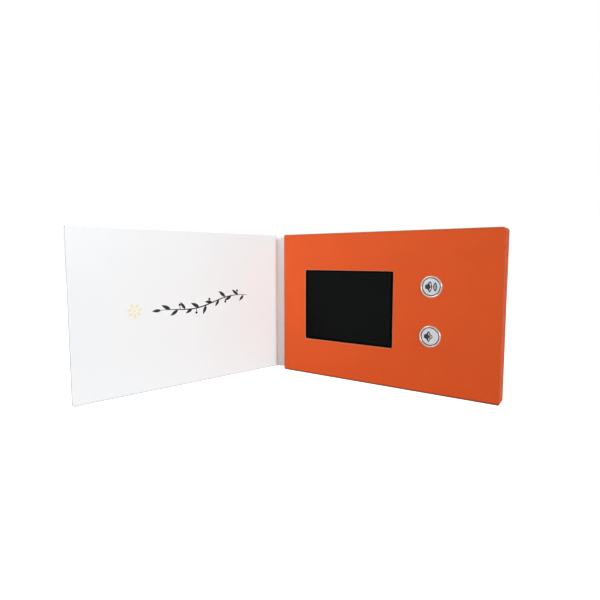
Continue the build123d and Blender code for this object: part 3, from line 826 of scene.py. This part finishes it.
def fold_outline(line, before, after, soft, thick, card):
    """Plan of a creased strip: a ridge inside, and outside a pressed line on each side.

    It reaches as far as soft from the line, along both panels.
    """
    shares = [1 - step / 7 for step in range(8)]
    middle = (before.out + after.out).normalized()
    inner, outer = [], []
    for panel in (before, after):
        for s in shares:
            ridge = card.bead * exp(-(soft * s / card.bead_width) ** 2)
            dent = card.score * exp(-((soft * s - card.score_place) / card.score_width) ** 2)
            lean = panel.out.lerp(middle, (1 - s) ** 2).normalized()
            spot = line + panel.along * soft * s
            inner.append(spot - lean * ridge)
            outer.append(spot + panel.out * (thick - dent))
    bend = before.out.angle(after.out)
    if before.out.cross(after.out).z < 0:
        bend = -bend
    round_out = [line + Matrix.Rotation(bend * step / 6, 3, "Z") @ before.out * thick
                 for step in range(1, 6)]
    count = len(shares)
    return (inner[:count] + inner[count:-1][::-1] + outer[count:] + round_out[::-1]
            + outer[:count][::-1])


class BROCHURE_OT_folds(bpy.types.Operator):
    """Models the two creased strips of the cover sheet, with pressed lines and a bead"""
    bl_idname = "brochure.folds"
    bl_label = "Folds"

    def execute(self, context):
        card = context.scene.brochure_card
        (soft, _), (low, high), (_, thick) = spine.reach("spine_card")
        spine_back = Panel(front_line, -spine_along, outward(spine_along))
        for name, node, fold, before, after, bodies in (
                ("rear_fold", "rear_crease", rear_line, back, spine, ("block", "spine")),
                ("front_fold", "front_crease", front_line, spine_back, lid, ("spine", "lid"))):
            line = Vector((fold.x, fold.y, low))
            outline = fold_outline(line, before, after, soft, thick, card)
            strip = draw_solid(name, outline, UP * (high - low))
            finish_piece(strip, 60)

            def finish_of(face):
                spot = face.center - line
                spot.z = 0
                at_end = spot.length > soft and min(abs(face.normal.dot(before.along)),
                                                    abs(face.normal.dot(after.along))) > 0.99
                if at_end or abs(face.normal.z) > 0.9:
                    return "cut_edge"
                depth = max(spot.dot(before.out), spot.dot(after.out))
                return "cover_print" if depth > thick / 2 else "white_sheet"

            dress(strip, finish_of)
            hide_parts(node)
            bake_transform(strip)
        return {"FINISHED"}


class BROCHURE_OT_fold_lining(bpy.types.Operator):
    """Models the narrow paper cove that closes the fold between spine and lid inside"""
    bl_idname = "brochure.fold_lining"
    bl_label = "Fold lining"

    def execute(self, context):
        card = context.scene.brochure_card
        (_, spine_end), (low, high), (spine_face, _) = spine.reach("spine_liner")
        (lid_start, _), _, (lid_face, _) = lid.reach("lid_liner")

        def cove(inset):
            """The cove's line, this far under the paper's faces."""
            foot = spine.at(spine_end + card.lining_slack, low, spine_face + inset)
            head = lid.at(lid_start - card.lining_slack, low, lid_face + inset)
            knee = foot + spine.along * (card.lining_knee + inset)
            return [(1 - t) ** 2 * foot + 2 * t * (1 - t) * knee + t * t * head
                    for t in (step / 8 for step in range(9))]

        face, under = cove(0), cove(card.lining)
        strip = draw_solid("fold_lining", face + under[::-1], UP * (high - low))
        finish_piece(strip, 60)
        dress(strip, "white_sheet")
        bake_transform(strip)
        return {"FINISHED"}


# ================================================================ window
class BROCHURE_OT_window_pane(bpy.types.Operator):
    """Models the film in the window, with its black border and sunk picture area"""
    bl_idname = "brochure.window_pane"
    bl_label = "Window pane"

    def execute(self, context):
        window = context.scene.brochure_window
        low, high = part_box("window_film")
        corners = rectangle(low.x, high.x, low.z, high.z)
        pane = draw_solid("window_pane", front.spots(corners, face_y - low.y),
                          Vector((0, high.y - low.y, 0)))
        round_edges(pane, is_corner, window.film_round, 1)
        pick(pane, "faces", lambda face: face.normal.y < -0.99)
        margin = (high.x - low.x - window.width) / 2
        bpy.ops.mesh.inset(thickness=margin + window.border)
        # painted shadow: the border is a little wider on the right and below
        bpy.ops.transform.translate(value=(-window.border * 0.3, 0, window.border * 0.25))
        bpy.ops.mesh.inset(thickness=2 * window.sink, depth=-window.sink)
        finish_piece(pane, 20)
        sunk_y = low.y + window.sink - HAIR
        dress(pane, lambda face: "screen_dark" if face.normal.y < -0.99 and face.center.y > sunk_y
              else "screen_border")
        settle(pane, "block", "window_film")
        return {"FINISHED"}


# ================================================================ buttons
def button_middle(node):
    """Middle of a button's visible parts on the front face, and its node's box."""
    buttons = bpy.context.scene.brochure_buttons
    low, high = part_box(node)
    lift = buttons.upper_lift if node.startswith("volume_up") else buttons.lower_lift
    return Vector(((low.x + high.x) / 2 - buttons.aside, face_y,
                   (low.z + high.z) / 2 + lift)), low, high


def turn_profile(name, middle, profile, closed):
    """A turned part: radius and height points spun round the button's axis."""
    part = draw_line(name, [middle + Vector((radius, -height, 0)) for radius, height in profile])
    if closed:
        bpy.ops.mesh.edge_face_add()
        bpy.ops.mesh.delete(type="ONLY_FACE")
        bpy.ops.mesh.select_all(action="SELECT")
    bpy.ops.mesh.spin(steps=bpy.context.scene.brochure_buttons.turns, angle=2 * pi,
                      center=middle, axis=(0, 1, 0))
    bpy.ops.mesh.select_all(action="SELECT")
    bpy.ops.mesh.remove_doubles(threshold=HAIR)
    bpy.ops.mesh.normals_make_consistent(inside=False)
    finish_piece(part, 40)
    return part


def repeat_below(piece, name, node):
    """A copy of an upper button's part for the same node of the lower button."""
    upper, lower = (button_middle(f"volume_{side}_{node}")[0] for side in ("up", "down"))
    return copy_of(piece, name, lower - upper)


class BROCHURE_OT_button_rings(bpy.types.Operator):
    """Models the two turned rings round the buttons"""
    bl_idname = "brochure.button_rings"
    bl_label = "Button rings"

    def execute(self, context):
        buttons = context.scene.brochure_buttons
        middle, low, high = button_middle("volume_up_ring")
        cap_low, cap_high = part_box("volume_up_cap")
        outer = (high.x - low.x) / 2
        proud, tail = face_y - low.y, face_y - high.y
        barrel = outer - buttons.flange
        inside = barrel - buttons.barrel_wall
        bore = (cap_high.x - cap_low.x) / 2 - buttons.rim + buttons.gap
        seat = face_y - cap_high.y + buttons.rim
        crown, throat = buttons.crown, buttons.throat
        top = arc((outer - crown, proud - crown), crown, 0, 90, 8)
        lip = arc((bore + throat, proud - buttons.lip_drop - throat), throat, 90, 180, 6)
        profile = [(barrel, tail), (barrel, 0), (outer, 0), *top, *lip,
                   (bore, seat), (inside, seat - buttons.seat_slope), (inside, tail)]
        ring = turn_profile("volume_up_collar", middle, profile, True)
        second = repeat_below(ring, "volume_down_collar", "ring")
        for piece, side in ((ring, "up"), (second, "down")):
            dress(piece, f"ring_plate_{side}")
            settle(piece, "block", f"volume_{side}_ring")
        return {"FINISHED"}


class BROCHURE_OT_button_caps(bpy.types.Operator):
    """Models the two button caps with a rounded rim and a retaining lip"""
    bl_idname = "brochure.button_caps"
    bl_label = "Button caps"

    def execute(self, context):
        buttons = context.scene.brochure_buttons
        middle, low, high = button_middle("volume_up_cap")
        lip = (high.x - low.x) / 2
        crest, end = face_y - low.y - buttons.cap_drop, face_y - high.y
        lip_top = end + buttons.lip_height
        side = lip - buttons.rim
        round_off = buttons.cap_round
        shoulder = crest - buttons.dome - round_off
        dome = [(side * share, crest - buttons.dome * share ** 2)
                for share in (0, 0.2, 0.4, 0.6, 0.8, 0.9)]
        profile = [*dome, *arc((side - round_off, shoulder), round_off, 85, 0, 6),
                   (side, lip_top), (lip, lip_top), (lip, end), (0, end)]
        cap = turn_profile("volume_up_button_cap", middle, profile, False)
        second = repeat_below(cap, "volume_down_button_cap", "cap")
        for piece, side_name in ((cap, "up"), (second, "down")):
            dress(piece, f"cap_satin_{side_name}")
            settle(piece, f"volume_{side_name}_button", f"volume_{side_name}_cap")
        return {"FINISHED"}


def in_mm(*pairs):
    """Flat points from pairs of millimetres."""
    return [Vector((x * MM, z * MM)) for x, z in pairs]


def bow(x, half_height, swell, steps=10):
    """A standing line that swells to one side, in millimetres."""
    heights = [2 * step / steps - 1 for step in range(steps + 1)]
    return in_mm(*((x + swell * (1 - height ** 2), half_height * height) for height in heights))


def lens(x, half_height, left, right):
    """A standing shape between two bows."""
    return bow(x, half_height, right) + bow(x, half_height, left)[-2:0:-1]


half_speaker = ((-0.14, 0), (-0.18, 0.3), (-0.32, 0.6), (-0.54, 0.9), (-0.62, 1.3),
                (-0.5, 1.85), (-0.24, 2.3), (-0.46, 2.5), (-0.9, 2.2), (-1.28, 1.6),
                (-1.68, 1.02), (-2.0, 0.98), (-2.62, 0.8))
soft_sound = ((0.3, 0.95), (0.75, 0.62), (1.1, 0.2), (1.1, -0.25), (0.75, -0.7), (0.3, -1.0))
soft_white = ((0.28, -0.72), (0.66, -0.5), (0.88, -0.1), (0.66, 0.42), (0.28, 0.7))


class BROCHURE_OT_button_signs(bpy.types.Operator):
    """Models the printed loudspeaker signs on both buttons"""
    bl_idname = "brochure.button_signs"
    bl_label = "Button signs"

    def execute(self, context):
        buttons = context.scene.brochure_buttons
        line = buttons.line
        speaker = in_mm(*half_speaker, *((x, -z) for x, z in half_speaker[:0:-1]))
        black = {
            "volume_up": [speaker, stroke(bow(-0.42, 2.35, 0.68), line, 0.7),
                          stroke(bow(1.95, 1.95, -0.75), line, 0.7),
                          stroke(bow(1.95, 1.95, 0.62), line, 0.7),
                          stroke(bow(1.92, 1.45, -0.02), line * 0.7, 0.5)],
            "volume_down": [speaker, stroke(bow(-0.42, 2.35, 0.6), line, 0.7),
                            stroke(in_mm(*soft_sound), line * 0.85, 0.7)],
        }
        white = {
            "volume_up": [lens(-0.56, 1.9, -0.35, 0.66)],
            "volume_down": [lens(-0.56, 1.9, -0.35, 0.58), in_mm(*soft_white)],
        }
        for button in black:
            middle, low, high = button_middle(button + "_cap")
            top = face_y - low.y - buttons.ink_sink
            side = (high.x - low.x) / 2 - buttons.rim
            for name, outlines, depth, finish, slot in (
                    (button + "_sign", black[button], buttons.ink_depth, "sign_ink",
                     "chip_black"),
                    (button + "_sign_white", white[button], buttons.white_depth, "sign_white",
                     "white_paper")):
                parts = []
                for outline in outlines:
                    spots = [middle + Vector((
                        spot.x, buttons.dome * spot.length_squared / side ** 2 - top, spot.y))
                        for spot in outline]
                    parts.append(draw_solid(name, spots, Vector((0, -depth, 0))))
                    clear_selection()
                sign = join_up(parts, name)
                finish_piece(sign, 30)
                dress(sign, finish)
                settle(sign, button + "_button")
        return {"FINISHED"}


# ================================================================ charging socket
class BROCHURE_OT_socket(bpy.types.Operator):
    """Models the charging socket's folded steel shell in the upper wall"""
    bl_idname = "brochure.socket"
    bl_label = "Charging socket"

    def execute(self, context):
        socket = context.scene.brochure_socket
        low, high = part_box("usb_shell")
        radii = [socket.front_corner, socket.front_corner, socket.back_corner, socket.back_corner]
        outline = rounded(rectangle(low.x, high.x, low.y, high.y), radii, 5)
        shell = draw_solid("socket_shell", [Vector((x, y, low.z)) for x, y in outline],
                           UP * (high.z - low.z))
        open_up(shell, lambda face: abs(face.normal.z) > 0.9)
        thicken(shell, socket.wall)
        round_edges(shell, lambda edge: is_corner(edge) and both_ends(
            edge, lambda end: end.z > high.z - HAIR), socket.mouth, 2)
        finish_piece(shell, 40)
        dress(shell, "plated_steel")
        settle(shell, "block", "usb_shell")
        return {"FINISHED"}


# ================================================================ print inside the lid
def turned(flat, angle, spot, scale=1.0):
    """A flat outline turned, scaled and moved to a spot."""
    turn = Matrix.Rotation(angle, 2)
    return [spot + turn @ point * scale for point in flat]


def blade(length, width, steps=7):
    """A leaf's outline from its foot to its tip."""
    edge = [Vector((length * step / steps, width / 2 * sin(pi * (step / steps) ** 0.8)))
            for step in range(steps + 1)]
    return edge + [Vector((spot.x, -spot.y)) for spot in edge[-2:0:-1]]


def ray(angle):
    """The flat direction at this angle."""
    return Vector((cos(angle), sin(angle)))


class BROCHURE_OT_lid_print(bpy.types.Operator):
    """Models the twig with leaves and berries, and the pale flower, on the white sheet"""
    bl_idname = "brochure.lid_print"
    bl_label = "Lid print"

    def execute(self, context):
        art = context.scene.brochure_print
        face = lid.reach("lid_liner")[2][0] + art.ink_sink

        def twig_at(share):
            """Middle of the twig, from the fold's side to its tip."""
            return Vector((art.start + art.length * share, art.height + art.rise * (0.5 - share)
                           + art.wave * sin(share * 2.4 * pi)))

        def lean_at(share):
            """The twig's own direction there."""
            step = twig_at(share + 0.01) - twig_at(share - 0.01)
            return atan2(step.y, step.x)

        def solid(name, flat):
            """A printed shape on the white sheet."""
            part = draw_solid(name, lid.spots(flat, face), -lid.out * art.ink_depth)
            clear_selection()
            return part

        parts = [solid("lid_twig", stroke([twig_at(step / 40) for step in range(41)],
                                          art.stem, 0.35))]
        leaf = blade(art.leaf_length, art.leaf_width)
        # twelve leaves on alternate sides, at three angles and four sizes, and one at the tip
        for number in range(12):
            share = 0.04 + 0.078 * number
            side = 1 if number % 2 else -1
            angle = lean_at(share) + side * radians(52 - 14 * (number % 3))
            foot = twig_at(share) + ray(angle) * art.leaf_gap
            scale = 0.82 + 0.2 * ((number * 5) % 4) / 3
            parts.append(solid("leaf", turned(leaf, angle, foot, scale)))
        parts.append(solid("leaf", turned(leaf, lean_at(0.99), twig_at(1.0), 0.9)))
        dot = circle((0, 0), art.berry / 2, 16)
        for share, side in ((0.12, 1), (0.28, -1), (0.45, 1), (0.62, -1), (0.8, 1)):
            away = ray(lean_at(share) + side * radians(80))
            foot = twig_at(share)
            parts.append(solid("berry", turned(dot, 0, foot + away * art.berry_reach)))
            stalk = [foot + away * art.stalk * step / 4 for step in range(5)]
            parts.append(solid("stalk", stroke(stalk, art.stem * 0.5, 0.8)))
        twig = join_up(parts, "lid_twig")
        dress(twig, "twig_ink")

        middle = Vector((art.start + art.length + art.flower_gap,
                         art.height - art.rise * 0.2))
        petal = blade(art.flower * 0.36, art.flower * 0.13)
        petals = []
        for number in range(7):
            angle = radians(360 / 7 * number + 12)
            foot = middle + ray(angle) * art.flower * 0.14
            petals.append(solid("petal", turned(petal, angle, foot)))
        petals.append(solid("eye", turned(dot, 0, middle, 0.8)))
        flower = join_up(petals, "lid_flower")
        dress(flower, "flower_ink")
        for piece, slot in ((twig, "chip_black"), (flower, "cream_plastic")):
            finish_piece(piece, 30)
            settle(piece, "lid")
        return {"FINISHED"}


# ================================================================ finishes of all parts
# finish: colour, roughness, grain and relief in millimetres, contrast, its nodes
inner_parts = {
    "black_foam": ((0.018, 0.018, 0.02), 0.95, 0.6, 0.15, 0.4, ["foam_liner"]),
    "light_guide": ((0.8, 0.81, 0.82), 0.35, 2, 0.004, 0.03, ["screen_backlight"]),
    "moulded_black": ((0.02, 0.02, 0.022), 0.5, 0.12, 0.006, 0.25,
                      ["screen_driver_chip", "processor_chip", "memory_chip", "amplifier_chip",
                       "lid_sensor"]),
    "amber_film": ((0.55, 0.2, 0.03), 0.28, 1.5, 0.004, 0.12,
                   ["screen_ribbon", "battery_safety_board"]),
    "board_green": ((0.012, 0.12, 0.045), 0.35, 0.9, 0.02, 0.35, ["main_board"]),
    "white_tape": ((0.76, 0.76, 0.72), 0.8, 0.4, 0.03, 0.06,
                   ["board_pad", "battery_tape", "battery_pad", "speaker_gasket"]),
    "cream_plastic": ((0.7, 0.62, 0.46), 0.45, 0.4, 0.008, 0.05, ["ribbon_connector"]),
    "plated_steel": ((0.62, 0.62, 0.6), 0.28, 0.25, 0.004, 0.1,
                     ["clock_crystal", "switch_covers", "switch_domes"]),
    "capacitor_tan": ((0.38, 0.25, 0.14), 0.5, 0.15, 0.01, 0.15, ["chip_capacitors"]),
    "socket_black": ((0.016, 0.016, 0.018), 0.42, 0.2, 0.006, 0.2,
                     ["usb_insert", "switch_bodies"]),
    "foil_wrap": ((0.6, 0.61, 0.62), 0.32, 1.8, 0.06, 0.08, ["battery_cell"]),
    "wire_skin": ((0.45, 0.012, 0.01), 0.4, 0.5, 0.01, 0.1, ["battery_wires", "speaker_wires"]),
    "speaker_plastic": ((0.03, 0.03, 0.033), 0.5, 0.3, 0.01, 0.2,
                        ["speaker_frame", "volume_up_stem", "volume_down_stem"]),
    "speaker_paper": ((0.025, 0.025, 0.026), 0.8, 0.35, 0.04, 0.3, ["speaker_cone"]),
    "bright_magnet": ((0.68, 0.67, 0.64), 0.22, 0.5, 0.004, 0.12,
                      ["speaker_magnet", "lid_magnet"]),
}
# further settings of some of them
inner_extras = {
    "amber_film": {"Coat_Weight": 0.4},
    "board_green": {"Coat_Weight": 0.3, "stretch": (1, 1, 3)},
    "plated_steel": {"metallic": 1.0, "stretch": (1, 1, 8)},
    "foil_wrap": {"metallic": 0.9},
    "bright_magnet": {"metallic": 1.0},
}


class BROCHURE_OT_finishes(bpy.types.Operator):
    """Makes every finish and gives the parts inside the block and the lid theirs"""
    bl_idname = "brochure.finishes"
    bl_label = "Finishes"

    def execute(self, context):
        scene = context.scene
        card, window = scene.brochure_card, scene.brochure_window
        buttons, art = scene.brochure_buttons, scene.brochure_print
        printed_card("tray_print", card.print_colour)
        printed_card("cover_print", card.print_colour)
        # the narrow walls' finish: the print in a darker copy, painted shade
        printed_card("side_print", card.side_shade_colour, 0.02)
        # the rolled edges' finishes, each toned for the light on its side: painted light and shade
        for name, colour in (("folded_print", card.left_roll_shade_colour), ("worn_fold", card.right_roll_shading_colour),
                             ("top_fold", card.top_roll_shading_colour), ("foot_fold", card.foot_roll_shadow_colour)):
            folded_print(name, colour, card.core_colour)
        for name, colour in (("pressed_edge", card.edge_colour), ("cut_edge", card.core_colour),
                             ("leaf_edge", card.leaf_edge_colour),
                             ("grey_board", card.board_colour)):
            cut_board(name, colour)
        # the white sheet over the spine and the folds, warmed as painted bounce light
        white_sheet("white_sheet", card.spine_bounce_tint_colour)
        # the lid's white sheet, in a white raised and cooled as painted light
        white_sheet("lid_white", card.leaf_lit_colour)
        dark_glass("screen_border", window.border_colour, 0.015)
        dark_glass("screen_dark", window.dark_colour, 0.04, window.cell)
        for side in ("up", "down"):
            centre = button_middle(f"volume_{side}_cap")[0]
            turned_metal(f"ring_plate_{side}", buttons.ring_metal_and_reflection_colour, 0.24, centre)
            turned_metal(f"cap_satin_{side}", buttons.cap_colour, 0.4, centre)
        for name, colour in (("sign_ink", buttons.ink_colour), ("sign_white", buttons.white_colour),
                             ("twig_ink", art.twig_colour), ("flower_ink", art.flower_colour)):
            ink(name, colour)

        foot, top, fold = tray_low.z, tray_high.z - card.roll, tray_low.x + card.roll
        open_side, pane_foot = tray_high.y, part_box("window_film")[0].z
        free_edge, near_fold = (corner.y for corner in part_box("lid_liner"))
        painted_shading = (       # finish, axis, where it is darkest, where it starts, share left
            # painted shadow: the face darker along its foot on the table
            ("tray_print", "Z", foot + 0.3 * MM, foot + 1.1 * MM, 0.45),
            # painted shade: the face a little darker along its upper edge
            ("tray_print", "Z", top, top - 0.6 * MM, 0.8),
            # painted shade: the face darker next to the fold
            ("tray_print", "X", fold, fold + 0.5 * MM, 0.7),
            # painted shade: the narrow walls darker towards the open back, as a seam shadow
            ("side_print", "Y", open_side - 0.2 * MM, open_side - 1.4 * MM, 0.7),
            # painted shade: the picture area darker towards its foot
            ("screen_dark", "Z", pane_foot + 1.3 * MM, pane_foot + 23.3 * MM, 0.5),
            # painted shadow: the white sheet darker along its foot on the table
            ("lid_white", "Z", foot + 0.15 * MM, foot + 0.7 * MM, 0.72),
            # painted light: the raised white dimmed towards the free edge, so it stays brighter near
            # the fold where shade falls
            ("lid_white", "Y", free_edge + 3 * MM, free_edge + 51 * MM, 0.955),
            # painted light: red taken out near the fold against the orange light bounced from the
            # tray
            ("lid_white", "Y", near_fold - 2.5 * MM, near_fold - 50.5 * MM, (0.975, 1.0, 1.0)),
        )
        for name, *fade in painted_shading:
            darker_towards(bpy.data.materials[name], *fade)

        nodes_of = {"grey_board": ["backing_board", "lid_board"],
                    "screen_border": ["screen_glass"]}
        for name, (*values, nodes) in inner_parts.items():
            moulded(name, *values, **inner_extras.get(name, {}))
            nodes_of[name] = nodes
        for name, nodes in nodes_of.items():
            for node in nodes:
                materials = frame["nodes"][node].data.materials
                materials.clear()
                materials.append(bpy.data.materials[name])
        return {"FINISHED"}


# ================================================================ stage
def seen_directly(tree):
    """1 for rays from the camera and for mirrored and clear-through rays, else 0."""
    path = add_node(tree, "LightPath").outputs
    level = path["Is Camera Ray"]
    for ray_kind in ("Is Glossy Ray", "Is Transmission Ray"):
        either = add_node(tree, "Math")
        either.operation = "MAXIMUM"
        tree.links.new(level, either.inputs[0])
        tree.links.new(path[ray_kind], either.inputs[1])
        level = either.outputs[0]
    return level


def look_along(thing, direction):
    """Turns a lamp or the camera to face a direction."""
    thing.rotation_mode = "QUATERNION"
    thing.rotation_quaternion = direction.to_track_quat("-Z", "Y")


# lamp: its place, the point that it looks at, and its width, in metres
lamps = {
    "key": ((-0.1, -0.173, 0.157), (-0.045, 0, 0.03), 0.09),
    "fill": ((0.98, -0.5, 0.26), (-0.08, -0.05, 0.04), 0.3),
    "back": ((-0.7, 0.8, 0.5), (-0.03, 0, 0.04), 0.5),
}
camera_place = (0.08785, -0.2015, 0.0618)
camera_yaw, camera_pitch = radians(34.31), radians(5.03)    # to the left, and down
camera_shift = (0.0042, -0.0037)


class BROCHURE_OT_stage(bpy.types.Operator):
    """Adds the pale floor, the sky, three soft lamps and the camera"""
    bl_idname = "brochure.stage"
    bl_label = "Stage"

    def execute(self, context):
        scene = context.scene
        settings = scene.brochure_stage
        scene.view_settings.view_transform = "Standard"

        clear_selection()
        bpy.ops.mesh.primitive_circle_add(vertices=96, radius=4, fill_type="NGON",
                                          location=(0, 0, 0))
        floor = name_active("floor")
        finish = new_finish("floor_paint", settings.floor_colour, 0.8, specular=0.0,
                            Emission_Color=(1, 1, 1, 1))
        lift = add_node(finish.node_tree, "MapRange", Value=seen_directly(finish.node_tree),
                        To_Max=settings.floor_lift)
        feed(finish, Emission_Strength=lift.outputs["Result"])
        floor.data.materials.append(finish)

        world = bpy.data.worlds.new("studio")
        scene.world = world
        world.use_nodes = True
        tree = world.node_tree
        level = add_node(tree, "MapRange", Value=seen_directly(tree), To_Min=settings.sky,
                         To_Max=1.0)
        connect(tree, tree.nodes["Background"], Color=(1, 1, 1, 1),
                Strength=level.outputs["Result"])

        for name, (spot, aim, width) in lamps.items():
            clear_selection()
            bpy.ops.object.light_add(type="AREA", location=spot)
            lamp = name_active(name + "_lamp")
            lamp.data.shape = "SQUARE"
            lamp.data.size = width
            lamp.data.energy = getattr(settings, name)
            lamp.visible_camera = False
            look_along(lamp, Vector(aim) - Vector(spot))

        bpy.ops.object.camera_add(location=camera_place)
        camera = name_active("camera")
        camera.data.sensor_width = 36
        camera.data.lens = settings.lens
        camera.data.shift_x, camera.data.shift_y = camera_shift
        camera.data.clip_start = 0.005
        look_along(camera, Vector((-sin(camera_yaw) * cos(camera_pitch),
                                   cos(camera_yaw) * cos(camera_pitch), -sin(camera_pitch))))
        scene.camera = camera
        return {"FINISHED"}


# ================================================================ add-on
class BROCHURE_PT_build(bpy.types.Panel):
    """Lists the settings and the steps that build the brochure"""
    bl_label = "LCD video brochure"
    bl_space_type = "VIEW_3D"
    bl_region_type = "UI"
    bl_category = "Brochure"

    def draw(self, context):
        layout = self.layout
        for key, group in settings_groups.items():
            box = layout.box()
            box.label(text=group.__doc__)
            for name in group.__annotations__:
                box.prop(getattr(context.scene, key), name)
        for step in steps:
            layout.operator(step.bl_idname)


settings_groups = {group.__name__.replace("_PG", "").lower(): group for group in (
    BROCHURE_PG_card, BROCHURE_PG_window, BROCHURE_PG_buttons, BROCHURE_PG_socket,
    BROCHURE_PG_print, BROCHURE_PG_stage)}
steps = (BROCHURE_OT_stage, BROCHURE_OT_finishes, BROCHURE_OT_tray, BROCHURE_OT_cover_panels,
         BROCHURE_OT_white_leaves, BROCHURE_OT_folds, BROCHURE_OT_fold_lining,
         BROCHURE_OT_window_pane, BROCHURE_OT_button_rings, BROCHURE_OT_button_caps,
         BROCHURE_OT_button_signs, BROCHURE_OT_socket, BROCHURE_OT_lid_print)


def register():
    """Registers the classes and hangs the settings on the scene."""
    for item in (*settings_groups.values(), *steps, BROCHURE_PT_build):
        bpy.utils.register_class(item)
    for key, group in settings_groups.items():
        setattr(bpy.types.Scene, key, PointerProperty(type=group))


def unregister():
    """Takes the settings and the classes away again."""
    for key in settings_groups:
        delattr(bpy.types.Scene, key)
    for item in reversed((*settings_groups.values(), *steps, BROCHURE_PT_build)):
        bpy.utils.unregister_class(item)


def main():
    """Builds the brochure step by step."""
    register()
    for step in steps:
        group, name = step.bl_idname.split(".")
        if getattr(getattr(bpy.ops, group), name)() != {"FINISHED"}:
            raise RuntimeError(f"{step.bl_label} didn't finish")
    clear_selection()


if __name__ == "__main__":
    main()
